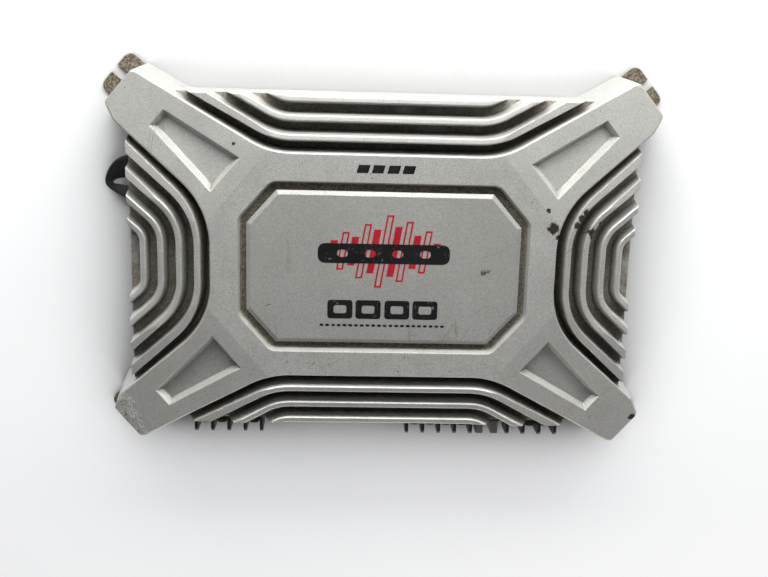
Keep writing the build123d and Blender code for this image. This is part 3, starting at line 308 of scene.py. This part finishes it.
    def near(self, spots):
        """1 inside ragged spots given as (x, y, radius) in metres, 0 outside."""
        ragged = self.noise(360, 6, 0.80)
        found = None
        for x, y, radius in spots:
            offset = self.node("ShaderNodeVectorMath")
            offset.operation = "DISTANCE"
            flat = self.node("ShaderNodeVectorMath")
            flat.operation = "MULTIPLY"
            self.put(flat.inputs[0], self.place)
            flat.inputs[1].default_value = (1, 1, 0)
            self.put(offset.inputs[0], flat.outputs[0])
            offset.inputs[1].default_value = (x, y, 0)
            reach = self.math("DIVIDE", offset.outputs["Value"], radius)
            uneven = self.math("ADD", reach, self.times(ragged, SPOT_RAGGED))
            spot = self.inverse(self.band(uneven, *SPOT_EDGE))
            found = spot if found is None else self.either(found, spot)
        return found

    def finish(self, colour, rough, metallic=0.0, normal=None, **sockets):
        self.put(self.surface.inputs["Base Color"], colour)
        self.put(self.surface.inputs["Roughness"], rough)
        self.put(self.surface.inputs["Metallic"], metallic)
        if normal is not None:
            self.put(self.surface.inputs["Normal"], normal)
        for name, value in sockets.items():
            self.surface.inputs[name.replace("_", " ")].default_value = value
        return self.material


# Materials -------------------------------------------------------------------------------
CHIPS = [
    (0.1095, 0.0285, 0.0052), (0.1130, 0.0230, 0.0024), (0.1060, 0.0400, 0.0022),
    (0.1258, 0.0307, 0.0036), (0.1285, 0.0350, 0.0038), (0.1310, 0.0393, 0.0030),
    (0.1361, 0.0264, 0.0036), (0.1375, 0.0225, 0.0034), (0.1386, 0.0191, 0.0024),
    (0.1416, 0.0318, 0.0018), (-0.0971, 0.0783, 0.0015), (0.1757, -0.1041, 0.0036),
    (-0.1793, 0.0979, 0.0018),
]
COVER_SCRATCHES = [
    (-0.040, -0.068, -0.024, -0.060, 0.00016), (-0.041, -0.0665, -0.036, -0.0725, 0.00016),
    (0.118, 0.012, 0.150, 0.040, 0.00022), (-0.150, 0.070, -0.146, 0.094, 0.00012),
    (-0.152, 0.072, -0.149, 0.090, 0.00010), (0.060, 0.066, 0.100, 0.061, 0.00010),
    (0.020, -0.066, 0.055, -0.064, 0.00010), (-0.120, -0.070, -0.104, -0.060, 0.00012),
]
BLISTERS = [(-0.1740, -0.1000, 0.010), (-0.1690, -0.1120, 0.011), (-0.1620, -0.1190, 0.006)]
# where dirt and painted shade gather, in metres: groove floors below a height, and the ring round the
# badge plate
GROOVE_FLOOR_Z = (0.0363, 0.0378)
BADGE_RING_X = (0.0935, 0.0950)
BADGE_RING_Y = 0.0585
BADGE_RING_Z = (0.0515, 0.0545)
SILVER_DARK = (0.575, 0.577, 0.556)
SILVER_LIGHT = (0.675, 0.677, 0.654)
FLAKE_GREY = (0.26, 0.26, 0.25)
STAIN = (0.34, 0.30, 0.24)
DIRT_AND_SHADE_DARK = (0.042, 0.033, 0.021)
DIRT_AND_SHADE_LIGHT = (0.22, 0.185, 0.13)
BARE_METAL_AND_HIGHLIGHT = (0.90, 0.90, 0.88)
SCRATCH_BROWN = (0.12, 0.11, 0.09)
CHIP_BLACK = (0.016, 0.012, 0.009)
CRACK_BROWN = (0.10, 0.085, 0.065)


def cover_paint():
    """Worn silver paint on a casting: fine flake, grime and painted shade in the grooves, bare edges
    with a painted highlight.
    """
    s = Shader("cover_paint")
    rounded = s.rounding(0.0008)
    open_sky = s.openness(0.007)
    flake = s.noise(2300, 1, 0.4)
    cloud = s.noise(22, 4, 0.6)
    paint = s.mix(s.band(cloud, 0.3, 0.7), SILVER_DARK, SILVER_LIGHT)
    paint = s.mix(s.band(flake, 0.35, 0.65), s.mix(0.62, paint, FLAKE_GREY), paint)
    stained = s.times(s.band(s.noise(38, 6, 0.7), 0.56, 0.76), 0.35)
    paint = s.mix(stained, paint, STAIN)
    # dirt and painted shade in corners, on groove floors and in the ring round the badge plate; dirt
    # alone as specks
    # painted shade: faces that the occlusion finds closed are darkened, with patchy dirt mixed in
    closed = s.inverse(open_sky)
    patchy = s.noise(170, 5, 0.72)
    corner = s.band(s.math("ADD", closed, s.times(patchy, 0.60)), 0.52, 0.82)
    # groove floors below a height, facing up, are darkened: dirt and painted shade
    low_floor = s.inverse(s.band(s.axis("Z"), *GROOVE_FLOOR_Z))
    floor = s.times(low_floor, s.band(s.facing_up(), 0.80, 0.95))
    floor = s.times(floor, s.band(s.noise(70, 5, 0.65), 0.22, 0.55))
    # the sunk ring round the badge plate is darkened: dirt and painted shade
    in_ring = s.inverse(s.band(s.math("ABSOLUTE", s.axis("X")), *BADGE_RING_X))
    in_ring = s.times(in_ring, s.math("LESS_THAN", s.math("ABSOLUTE", s.axis("Y")), BADGE_RING_Y))
    sunk = s.math("ADD", s.axis("Z"), s.times(s.noise(120, 5, 0.7), 0.0030))
    ring = s.times(in_ring, s.inverse(s.band(sunk, *BADGE_RING_Z)))
    specks = s.band(s.noise(520, 2, 0.5), 0.66, 0.70)
    specks = s.times(specks, s.band(s.noise(26, 3, 0.6), 0.50, 0.66))
    grime_and_shade = s.either(s.times(corner, 0.85), s.times(floor, 0.85))
    grime_and_shade = s.either(grime_and_shade, s.times(ring, 0.93))
    grime_and_shade = s.either(grime_and_shade, s.times(specks, 0.8))
    dirt_and_shade = s.mix(s.band(s.noise(800, 3, 0.75), 0.40, 0.62), DIRT_AND_SHADE_DARK, DIRT_AND_SHADE_LIGHT)
    colour = s.mix(grime_and_shade, paint, dirt_and_shade)
    # edges painted bright: rubbed bare metal and a painted highlight
    edge_wear_and_highlight = s.times(s.band(s.edges(rounded), 0.02, 0.16), s.band(open_sky, 0.55, 0.8))
    edge_wear_and_highlight = s.times(edge_wear_and_highlight, s.band(s.noise(120, 3, 0.6), 0.25, 0.55))
    colour = s.mix(s.times(edge_wear_and_highlight, 0.75), colour, BARE_METAL_AND_HIGHLIGHT)
    # scratches, chips and blisters
    lines = s.cells(34, "Distance", "DISTANCE_TO_EDGE", s.stretched((1.0, 0.06, 1.0), (0, 0, 0.7)))
    scratch = s.inverse(s.band(lines, 0.0, 0.005))
    scratch = s.times(scratch, s.band(s.noise(30, 2, 0.5), 0.57, 0.67))
    scratch = s.either(s.times(scratch, 0.45), s.strokes(COVER_SCRATCHES))
    colour = s.mix(s.times(scratch, 0.8), colour, SCRATCH_BROWN)
    nick = s.inverse(s.band(s.cells(170), 0.05, 0.08))
    nick = s.times(nick, s.band(s.noise(55, 2, 0.5), 0.60, 0.64))
    chip = s.either(nick, s.near(CHIPS))
    colour = s.mix(chip, colour, CHIP_BLACK)
    blister = s.near(BLISTERS)
    crumb = s.noise(330, 5, 0.75)
    cracks = s.inverse(s.band(s.cells(210, "Distance", "DISTANCE_TO_EDGE"), 0.02, 0.10))
    cracks = s.times(s.times(cracks, blister), s.band(crumb, 0.45, 0.6))
    colour = s.mix(s.times(cracks, 0.9), colour, CRACK_BROWN)
    swelling = s.times(s.times(crumb, blister), 9.0)
    height = s.math("ADD", s.noise(1300, 3, 0.6), swelling)
    grain = s.bump(height, 0.00012, 0.75, rounded)
    grain = s.bump(s.inverse(s.either(chip, scratch)), 0.00018, 0.6, grain)
    dull = s.either(grime_and_shade, chip)
    rough = s.math("ADD", 0.34, s.times(s.noise(90, 3, 0.6), 0.16))
    rough = s.math("ADD", rough, s.times(dull, 0.35))
    metal = s.times(0.36, s.inverse(dull))
    return s.finish(colour, rough, metal, grain)


PLATE_SCRATCHES = [
    (0.040, -0.048, 0.047, -0.036, 0.00012), (0.052, -0.050, 0.057, -0.040, 0.00010),
    (0.071, -0.044, 0.074, -0.036, 0.00012), (0.066, 0.010, 0.081, 0.014, 0.00010),
    (-0.077, -0.027, -0.073, -0.0255, 0.00035), (0.060, -0.030, 0.069, -0.024, 0.00009),
    (0.018, -0.046, 0.026, -0.045, 0.00010),
]
PLATE_MARKS = [(0.0655, -0.0015, 0.0030), (0.0690, -0.0010, 0.0022)]


def badge_metal():
    """Satin silver badge sheet: finer than the casting, with scuffs and dull smudges."""
    s = Shader("badge_metal")
    rounded = s.rounding(0.0006)
    grain = s.noise(1900, 2, 0.5)
    cloud = s.noise(16, 4, 0.6)
    colour = s.mix(s.band(cloud, 0.35, 0.7), (0.52, 0.520, 0.495), (0.60, 0.600, 0.575))
    colour = s.mix(s.band(grain, 0.35, 0.65), s.mix(0.55, colour, (0.2, 0.2, 0.2)), colour)
    smudge = s.times(s.band(s.noise(40, 5, 0.7), 0.60, 0.80), 0.5)
    colour = s.mix(smudge, colour, (0.24, 0.21, 0.17))
    streak = s.noise(60, 3, 0.6, s.stretched((1.0, 0.16, 1.0), (0, 0, 1.2)))
    colour = s.mix(s.times(s.band(streak, 0.69, 0.75), 0.4), colour, (0.1, 0.085, 0.07))
    mark = s.times(s.near(PLATE_MARKS), s.band(s.noise(260, 4, 0.7), 0.40, 0.60))
    mark = s.either(mark, s.strokes(PLATE_SCRATCHES))
    colour = s.mix(s.times(mark, 0.85), colour, (0.07, 0.045, 0.028))
    # edges painted bright: rubbed bare metal and a painted highlight
    edge_wear_and_highlight = s.band(s.edges(rounded), 0.02, 0.16)
    colour = s.mix(s.times(edge_wear_and_highlight, 0.7), colour, BARE_METAL_AND_HIGHLIGHT)
    rough = s.math("ADD", 0.36, s.times(s.noise(110, 3, 0.6), 0.15))
    bump = s.bump(grain, 0.00007, 0.6, rounded)
    return s.finish(colour, rough, 0.40, bump)


def corroded_sheet():
    """Zinc-plated sheet steel with granular brown and white corrosion towards its ears."""
    s = Shader("base_steel")
    spangle = s.cells(320, "Color")
    zinc = s.mix(0.25, (0.42, 0.42, 0.40), spangle)
    zinc = s.mix(0.75, zinc, (0.42, 0.42, 0.41))
    grain = s.noise(700, 4, 0.75)
    patches = s.noise(170, 4, 0.65)
    rust = s.ramp(grain, (0.30, (0.025, 0.018, 0.011)), (0.47, (0.10, 0.078, 0.052)),
                  (0.56, (0.20, 0.165, 0.12)), (0.70, (0.40, 0.37, 0.31)))
    away = s.math("ADD", s.math("ABSOLUTE", s.axis("X")), s.times(patches, 0.03))
    at_ear = s.band(away, 0.168, 0.178)
    spread = s.either(at_ear, s.band(patches, 0.60, 0.70))
    colour = s.mix(spread, zinc, rust)
    rough = s.math("ADD", 0.36, s.times(spread, 0.45))
    metal = s.math("SUBTRACT", 0.85, s.times(spread, 0.7))
    bump = s.bump(grain, 0.0005, 0.8)
    return s.finish(colour, rough, metal, bump)


def moulded(name, colour, rough=0.5, dusty=0.25):
    """Moulded plastic with a fine texture, slight gloss change and dust in its corners."""
    s = Shader(name)
    lighter = tuple(min(1.0, c * 1.5 + 0.01) for c in colour)
    base = s.mix(s.band(s.noise(60, 4, 0.6), 0.35, 0.7), colour, lighter)
    dust = s.times(s.band(s.noise(240, 5, 0.7), 0.5, 0.75), dusty)
    closed = s.band(s.inverse(s.openness(0.003)), 0.4, 0.9)
    dust = s.either(dust, s.times(closed, dusty))
    base = s.mix(dust, base, (0.22, 0.20, 0.17))
    # edges painted lighter: scuffing and a painted highlight
    edge_wear_and_highlight = s.times(s.band(s.edges(s.rounding(0.0004)), 0.05, 0.3), 0.35)
    base = s.mix(edge_wear_and_highlight, base, tuple(min(1.0, c * 3 + 0.05) for c in colour))
    gloss = s.math("ADD", rough, s.times(s.noise(300, 3, 0.6), 0.14))
    return s.finish(base, gloss, 0.0, s.bump(s.noise(1400, 2, 0.6), 0.00006, 0.5))


def plated(name, colour, tarnish, rough=0.28):
    """Plated or bare metal with fine brushing and a patchy tarnish."""
    s = Shader(name)
    brush = s.noise(900, 3, 0.6, s.stretched((1.0, 0.12, 1.0)))
    base = s.mix(s.band(brush, 0.3, 0.7), colour, tuple(c * 0.8 for c in colour))
    patch = s.times(s.band(s.noise(260, 5, 0.7), 0.45, 0.68), 0.8)
    base = s.mix(patch, base, tarnish)
    # painted shade: crevices darkened nearly black
    closed = s.band(s.inverse(s.openness(0.0015)), 0.45, 0.9)
    base = s.mix(s.times(closed, 0.6), base, (0.05, 0.04, 0.03))
    gloss = s.math("ADD", rough, s.times(patch, 0.3))
    return s.finish(base, gloss, 0.95, s.bump(brush, 0.00003, 0.5))


def printed(name, colour):
    """Screen-printed ink, slightly rubbed through to the plate."""
    s = Shader(name)
    worn = s.band(s.noise(210, 6, 0.75), 0.62, 0.72)
    speck = s.inverse(s.band(s.cells(700), 0.10, 0.16))
    speck = s.times(speck, s.band(s.noise(80, 3, 0.6), 0.5, 0.6))
    lighter = tuple(c * 1.35 + 0.004 for c in colour)
    tone = s.mix(s.band(s.noise(50, 4, 0.6), 0.35, 0.7), colour, lighter)
    rub = s.times(s.either(worn, speck), 0.75)
    base = s.mix(rub, tone, (0.42, 0.42, 0.40))
    return s.finish(base, s.math("ADD", 0.50, s.times(worn, 0.2)), 0.0,
                    s.bump(s.noise(1900, 2, 0.5), 0.00004, 0.5), Specular_IOR_Level=0.22)


def wound_copper():
    """Enamelled copper wire wound side by side."""
    s = Shader("copper_wire")
    wave = s.node("ShaderNodeTexWave")
    s.put(wave.inputs["Vector"], s.place)
    wave.inputs["Scale"].default_value = 330
    wave.inputs["Distortion"].default_value = 1.5
    wave.inputs["Detail"].default_value = 1.0
    turns = wave.outputs["Fac"]
    base = s.mix(turns, (0.16, 0.05, 0.02), (0.62, 0.27, 0.12))
    base = s.mix(s.band(s.noise(120, 4, 0.6), 0.5, 0.8), base, (0.3, 0.12, 0.05))
    return s.finish(base, 0.32, 0.8, s.bump(turns, 0.0004, 0.9))


def board_green():
    """Green solder mask with copper shapes under it."""
    s = Shader("circuit_board")
    tracks = s.cells(240, "Distance", "DISTANCE_TO_EDGE", s.stretched((1.0, 1.0, 0.2)))
    line = s.band(tracks, 0.05, 0.09)
    base = s.mix(line, (0.02, 0.12, 0.05), (0.03, 0.2, 0.08))
    base = s.mix(s.band(s.noise(90, 3, 0.6), 0.5, 0.8), base, (0.02, 0.09, 0.04))
    return s.finish(base, 0.35, 0.1, s.bump(line, 0.00008, 0.6))


def webbing():
    """Black woven nylon: close diagonal ribs, with dust caught between them."""
    s = Shader("strap_webbing")
    weave = s.node("ShaderNodeTexWave")
    s.put(weave.inputs["Vector"], s.stretched((1, 1, 1), (0, 0, 0.6)))
    weave.inputs["Scale"].default_value = 420
    weave.inputs["Distortion"].default_value = 0.6
    across = s.node("ShaderNodeTexWave")
    s.put(across.inputs["Vector"], s.stretched((1, 1, 1), (0, 0, -0.97)))
    across.inputs["Scale"].default_value = 260
    cloth = s.times(weave.outputs["Fac"], across.outputs["Fac"])
    base = s.mix(cloth, (0.004, 0.004, 0.005), (0.020, 0.020, 0.022))
    dust = s.times(s.band(s.noise(200, 4, 0.7), 0.6, 0.8), 0.3)
    base = s.mix(dust, base, (0.08, 0.07, 0.06))
    return s.finish(base, 0.55, 0.0, s.bump(cloth, 0.00025, 0.8), Sheen_Weight=0.25)


def floor_paper():
    """Plain pale paper floor that glows evenly, with a painted shadow: the glow fades in the corners
    under the object.
    """
    s = Shader("floor_paper")
    base = s.mix(s.band(s.noise(3, 2, 0.5), 0.3, 0.7), (0.43, 0.435, 0.44), (0.46, 0.465, 0.47))
    open_sky = s.node("ShaderNodeAmbientOcclusion")
    open_sky.inputs["Distance"].default_value = FLOOR_SHADE_REACH
    glow = s.times(s.band(open_sky.outputs["AO"], *FLOOR_SHADE), FLOOR_GLOW)
    s.put(s.surface.inputs["Emission Color"], FLOOR_GLOW_COLOUR)
    s.put(s.surface.inputs["Emission Strength"], glow)
    return s.finish(base, 0.7, 0.0, s.bump(s.noise(500, 2, 0.5), 0.0001, 0.3))


def make_materials():
    """One material for each slot of the record."""
    return {
        "cover_paint": cover_paint(),
        "badge_metal": badge_metal(),
        "foam_tape": moulded("foam_tape", (0.03, 0.03, 0.03), 0.8),
        "base_steel": corroded_sheet(),
        "screw_steel": plated("screw_steel", (0.56, 0.55, 0.52), (0.24, 0.2, 0.15)),
        "strap_webbing": webbing(),
        "insulation": moulded("insulation", (0.55, 0.54, 0.48), 0.4),
        "circuit_board": board_green(),
        "ferrite": moulded("ferrite", (0.06, 0.06, 0.06), 0.45),
        "copper_wire": wound_copper(),
        "capacitor_sleeve": moulded("capacitor_sleeve", (0.02, 0.025, 0.06), 0.3),
        "chip_resin": moulded("chip_resin", (0.02, 0.02, 0.02), 0.5),
        "thermal_pad": moulded("thermal_pad", (0.45, 0.46, 0.48), 0.6),
        "clamp_aluminium": plated("clamp_aluminium", (0.7, 0.7, 0.7), (0.45, 0.45, 0.44)),
        "panel_paint": moulded("panel_paint", (0.02, 0.02, 0.022), 0.45, 0.35),
        "terminal_plastic": moulded("terminal_plastic", (0.018, 0.018, 0.019), 0.42, 0.3),
        "terminal_brass": plated("terminal_brass", (0.34, 0.20, 0.11), (0.10, 0.055, 0.035)),
        "terminal_screw_steel": plated("terminal_screw_steel", (0.36, 0.27, 0.20), (0.15, 0.08, 0.05)),
        "fuse_plastic": moulded("fuse_plastic", (0.20, 0.19, 0.185), 0.3, 0.3),
        "jack_plating": plated("jack_plating", (0.72, 0.71, 0.68), (0.4, 0.38, 0.33), 0.2),
        "jack_insulator": moulded("jack_insulator", (0.6, 0.58, 0.54), 0.35, 0.3),
        "knob_plastic": moulded("knob_plastic", (0.025, 0.025, 0.026), 0.45, 0.3),
        "light_lens": moulded("light_lens", (0.03, 0.25, 0.06), 0.15, 0.1),
    }


# Mesh helpers ----------------------------------------------------------------------------
def new_piece(name, mesh_builder, material, body):
    """A mesh object from a bmesh builder, riding on a CAD body."""
    bm = bmesh.new()
    mesh_builder(bm)
    bmesh.ops.recalc_face_normals(bm, faces=bm.faces)
    mesh = bpy.data.meshes.new(name)
    bm.to_mesh(mesh)
    bm.free()
    piece = bpy.data.objects.new(name, mesh)
    SCENE.collection.objects.link(piece)
    mesh.materials.append(material)
    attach(piece, body)
    return piece


def slab(bm, outline, bottom, top, holes=()):
    """A flat closed slab with an outline and optional holes, all lists of (x, y) in metres."""
    edges = []
    for loop in [outline, *holes]:
        ring = [bm.verts.new((x, y, bottom)) for x, y in loop]
        edges += [bm.edges.new((a, b)) for a, b in zip(ring, ring[1:] + ring[:1])]
    filled = bmesh.ops.triangle_fill(bm, edges=edges, use_beauty=True, normal=(0, 0, 1))
    faces = [g for g in filled["geom"] if isinstance(g, bmesh.types.BMFace)]
    raised = bmesh.ops.extrude_face_region(bm, geom=faces, use_keep_orig=True)
    tops = [g for g in raised["geom"] if isinstance(g, bmesh.types.BMVert)]
    bmesh.ops.translate(bm, verts=tops, vec=(0, 0, top - bottom))


def rounded(x, y, width, height, radius, steps=6):
    """Outline of a rectangle with round corners, centred at x, y."""
    points = []
    for corner in range(4):
        angle = corner * math.pi / 2
        sx = 1 if corner in (0, 3) else -1
        sy = 1 if corner in (0, 1) else -1
        cx = x + sx * (width / 2 - radius)
        cy = y + sy * (height / 2 - radius)
        for step in range(steps + 1):
            turn = angle + step * math.pi / 2 / steps
            points.append((cx + radius * math.cos(turn), cy + radius * math.sin(turn)))
    return points


def slanted(x, y, width, height, lean):
    """Outline of a leaning bar."""
    return [
        (x - width / 2 - lean / 2, y - height / 2), (x + width / 2 - lean / 2, y - height / 2),
        (x + width / 2 + lean / 2, y + height / 2), (x - width / 2 + lean / 2, y + height / 2),
    ]


# Printed graphics on the badge and the frame ---------------------------------------------
INK = 0.04 * MM
INK_LAYER = (INK / 2, INK * 1.5)
INK_OVER = (INK * 2, INK * 3)
BAR_HEIGHTS = [14, 25, 19, 36, 29, 48, 33, 40, 22, 28, 12]
BAR_PITCH = 6.7 * MM
BAR_WIDTH = 4.6 * MM
BAR_LINE = 1.1 * MM
BAR_LEAN = 0.16
BARS_CENTRE_Y = 11 * MM
BAND_CENTRE_Y = 9.5 * MM
BAND_SIZE = (86 * MM, 13 * MM, 4.5 * MM)
BAND_HOLE_SIZE = (7 * MM, 5 * MM, 2.4 * MM)
BAND_HOLES = (-27, -9, 9, 27)
BLOCK_CENTRE_Y = -28 * MM
BLOCK_SIZE = (16.5 * MM, 12.6 * MM, 2 * MM)
BLOCK_HOLE_SIZE = (8.4 * MM, 5.4 * MM, 1.4 * MM)
BLOCKS = (-28, -9.5, 9.5, 28)
DASH_COUNT = 22
DASH_START = -40
DASH_PITCH = 3.8
DASH_CENTRE_Y = -38.8 * MM
DASH_SIZE = (2.5 * MM, 1.5 * MM, 0.5 * MM)
FRAME_DASHES = (-14.6, -5, 5, 14.6)
FRAME_DASH_Y = 64.5 * MM
FRAME_DASH_SIZE = (7.4 * MM, 5.2 * MM, 1.4 * MM)


def ink_slab(bm, surface_z, outline, holes=(), layer=INK_LAYER):
    """A film of ink just above a surface."""
    slab(bm, outline, surface_z + layer[0], surface_z + layer[1], holes)


def sound_bars(bm):
    """Leaning bars of different heights; every second one is only an outline."""
    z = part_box("badge_plate")[1].z
    first = -(len(BAR_HEIGHTS) - 1) / 2
    for index, height in enumerate(BAR_HEIGHTS):
        x = (first + index) * BAR_PITCH
        tall = height * MM
        lean = tall * BAR_LEAN
        outline = slanted(x, BARS_CENTRE_Y, BAR_WIDTH, tall, lean)
        holes = []
        if index % 2:
            inner = tall - 2 * BAR_LINE
            holes = [slanted(x, BARS_CENTRE_Y, BAR_WIDTH - 2 * BAR_LINE, inner, lean * inner / tall)]
        ink_slab(bm, z, outline, holes)


def band_mark(bm):
    """Black band across the bars, with round openings, over a block row and a dotted line."""
    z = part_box("badge_plate")[1].z
    holes = [rounded(x * MM, BAND_CENTRE_Y, *BAND_HOLE_SIZE) for x in BAND_HOLES]
    ink_slab(bm, z, rounded(0, BAND_CENTRE_Y, *BAND_SIZE), holes, INK_OVER)
    for x in BLOCKS:
        block = rounded(x * MM, BLOCK_CENTRE_Y, *BLOCK_SIZE)
        ink_slab(bm, z, block, [rounded(x * MM, BLOCK_CENTRE_Y, *BLOCK_HOLE_SIZE)])
    for index in range(DASH_COUNT):
        x = (DASH_START + index * DASH_PITCH) * MM
        ink_slab(bm, z, rounded(x, DASH_CENTRE_Y, *DASH_SIZE, 3))


def frame_mark(bm):
    """Short black dashes on the frame above the badge."""
    for x in FRAME_DASHES:
        ink_slab(bm, TOP_Z, slanted(x * MM, FRAME_DASH_Y, *FRAME_DASH_SIZE))


# Printed marks on the terminal panel ------------------------------------------------------
TICK_COUNT = 7
TICK_SWEEP = math.radians(300)
TICK_INNER = 4.3 * MM
TICK_OUTER = 5.2 * MM
TICK_HALF_WIDTH = 0.14 * MM
DOT_SIZE = (0.9 * MM, 0.9 * MM, 0.44 * MM)
DOT_BEFORE = 3.4 * MM
DOT_AFTER = 6.2 * MM
LINE_SHORTER = 3 * MM
LINE_ABOVE = 1.1 * MM
LINE_SIZE = (0.35 * MM, 0.17 * MM)


def panel_marks(bm):
    """White ticks round the knobs, dots by the switches and a line over each terminal row.

    Drawn flat in x and z with the ink's depth as the third axis, then stood up on the panel.
    """
    for name in ("level_knob_front", "level_knob_rear", "high_pass_knob", "low_pass_knob"):
        low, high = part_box(name)
        middle = (low + high) / 2
        for index in range(TICK_COUNT):
            angle = math.pi / 2 - TICK_SWEEP / 2 + TICK_SWEEP * index / (TICK_COUNT - 1)
            side = Vector((-math.sin(angle), math.cos(angle))) * TICK_HALF_WIDTH
            out = Vector((math.cos(angle), math.sin(angle)))
            a, b = out * TICK_INNER, out * TICK_OUTER
            corners = [a - side, b - side, b + side, a + side]
            ink_slab(bm, 0, [(middle.x + c.x, middle.z + c.y) for c in corners])
    for name in ("filter_switch_front", "filter_switch_rear"):
        low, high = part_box(name)
        for x in (low.x - DOT_BEFORE, high.x + DOT_AFTER):
            ink_slab(bm, 0, rounded(x, (low.z + high.z) / 2, *DOT_SIZE))
    for name in ("speaker_terminals_front", "speaker_terminals_rear", "power_terminals"):
        low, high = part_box(name)
        middle, width = (low.x + high.x) / 2, high.x - low.x - LINE_SHORTER
        ink_slab(bm, 0, rounded(middle, high.z + LINE_ABOVE, width, *LINE_SIZE, 2))
    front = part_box("terminal_panel")[0].y
    for vertex in bm.verts:
        x, z, out = vertex.co
        vertex.co = (x, front - out, z)


# Strap -----------------------------------------------------------------------------------
STRAP_THICK = 1.3 * MM
STRAP_EDGE_THINNING = 0.45
STRAP_STEPS_ALONG = 8
STRAP_STEPS_ACROSS = 8
# the strap's outer and inner edge, in millimetres, from the upper tail round the fold
STRAP_STATIONS = [
    ((-140, 65, 4.4), (-140, 49.5, 4.4)),
    ((-160, 65, 4.4), (-160, 49.3, 4.4)),
    ((-169, 65, 4.6), (-168, 49.2, 4.2)),
    ((-176, 64.4, 7.0), (-174, 49.4, 3.8)),
    ((-182, 60.5, 10.0), (-179.5, 49.0, 3.4)),
    ((-186.3, 53, 11.5), (-183.2, 47.6, 3.2)),
    ((-187.5, 46.5, 10.5), (-184.0, 45.6, 3.1)),
    ((-184.5, 41.5, 8.0), (-180.5, 44.6, 3.1)),
    ((-177.0, 36.5, 5.2), (-174, 44.0, 3.0)),
    ((-169, 33, 3.2), (-168, 43.8, 3.0)),
    ((-160, 32.5, 2.9), (-160, 43.6, 2.9)),
    ((-140, 32.5, 2.9), (-140, 43.6, 2.9)),
]


def smooth_path(points, steps):
    """Catmull-Rom curve through points."""
    result = []
    for index in range(len(points) - 1):
        a = points[max(index - 1, 0)]
        b, c = points[index], points[index + 1]
        d = points[min(index + 2, len(points) - 1)]
        for step in range(steps):
            t = step / steps
            result.append(0.5 * (2 * b + (c - a) * t + (2 * a - 5 * b + 4 * c - d) * t * t
                                 + (3 * b - a - 3 * c + d) * t ** 3))
    return result + [points[-1]]


def strap_ribbon(bm):
    """A thin woven strip whose two edges follow smooth paths, thinner towards its edges."""
    outer = smooth_path([Vector(a) * MM for a, b in STRAP_STATIONS], STRAP_STEPS_ALONG)
    inner = smooth_path([Vector(b) * MM for a, b in STRAP_STATIONS], STRAP_STEPS_ALONG)
    rows = []
    for index, (a, b) in enumerate(zip(outer, inner)):
        before = (outer[max(index - 1, 0)] + inner[max(index - 1, 0)]) / 2
        after = (outer[min(index + 1, len(outer) - 1)] + inner[min(index + 1, len(inner) - 1)]) / 2
        normal = (after - before).cross(b - a).normalized()
        top, bottom = [], []
        for step in range(STRAP_STEPS_ACROSS + 1):
            t = step / STRAP_STEPS_ACROSS
            middle = a.lerp(b, t)
            half = STRAP_THICK / 2 * (1 - STRAP_EDGE_THINNING * abs(2 * t - 1) ** 6)
            top.append(bm.verts.new(middle + normal * half))
            bottom.append(bm.verts.new(middle - normal * half))
        rows.append(top + bottom[::-1])
    for first, second in zip(rows, rows[1:]):
        count = len(first)
        for index in range(count):
            following = (index + 1) % count
            bm.faces.new((first[index], first[following], second[following], second[index]))
    bm.faces.new(rows[0])
    bm.faces.new(rows[-1][::-1])


def make_floor():
    """A wide thin slab under the object."""
    bm = bmesh.new()
    half = FLOOR_HALF
    slab(bm, [(-half, -half), (half, -half), (half, half), (-half, half)], -FLOOR_THICK, 0.0)
    mesh = bpy.data.meshes.new("floor")
    bm.to_mesh(mesh)
    bm.free()
    floor = bpy.data.objects.new("floor", mesh)
    SCENE.collection.objects.link(floor)
    mesh.materials.append(floor_paper())
    return floor


# Build -----------------------------------------------------------------------------------
make_camera()
make_world()
for light_name, light_values in LIGHTS.items():
    area_light(light_name, *light_values)

MATERIALS = make_materials()
SLOT_OF = {entry["node"]: entry["material_slot"] for entry in frame["record"]["subparts"]}
for node_name, node in NODES.items():
    node.data.materials.clear()
    node.data.materials.append(MATERIALS[SLOT_OF[node_name]])

red_ink = printed("red_ink", (0.36, 0.010, 0.020))
black_ink = printed("black_ink", (0.007, 0.007, 0.008))
new_piece("badge_sound_bars", sound_bars, red_ink, "chassis")
new_piece("badge_black_marks", band_mark, black_ink, "chassis")
new_piece("frame_dashes", frame_mark, black_ink, "chassis")
new_piece("panel_print", panel_marks, printed("white_ink", (0.62, 0.62, 0.60)), "chassis")

strap = new_piece("woven_strap", strap_ribbon, MATERIALS["strap_webbing"], "chassis")
for polygon in strap.data.polygons:
    polygon.use_smooth = True
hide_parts("strap_loop")

make_floor()
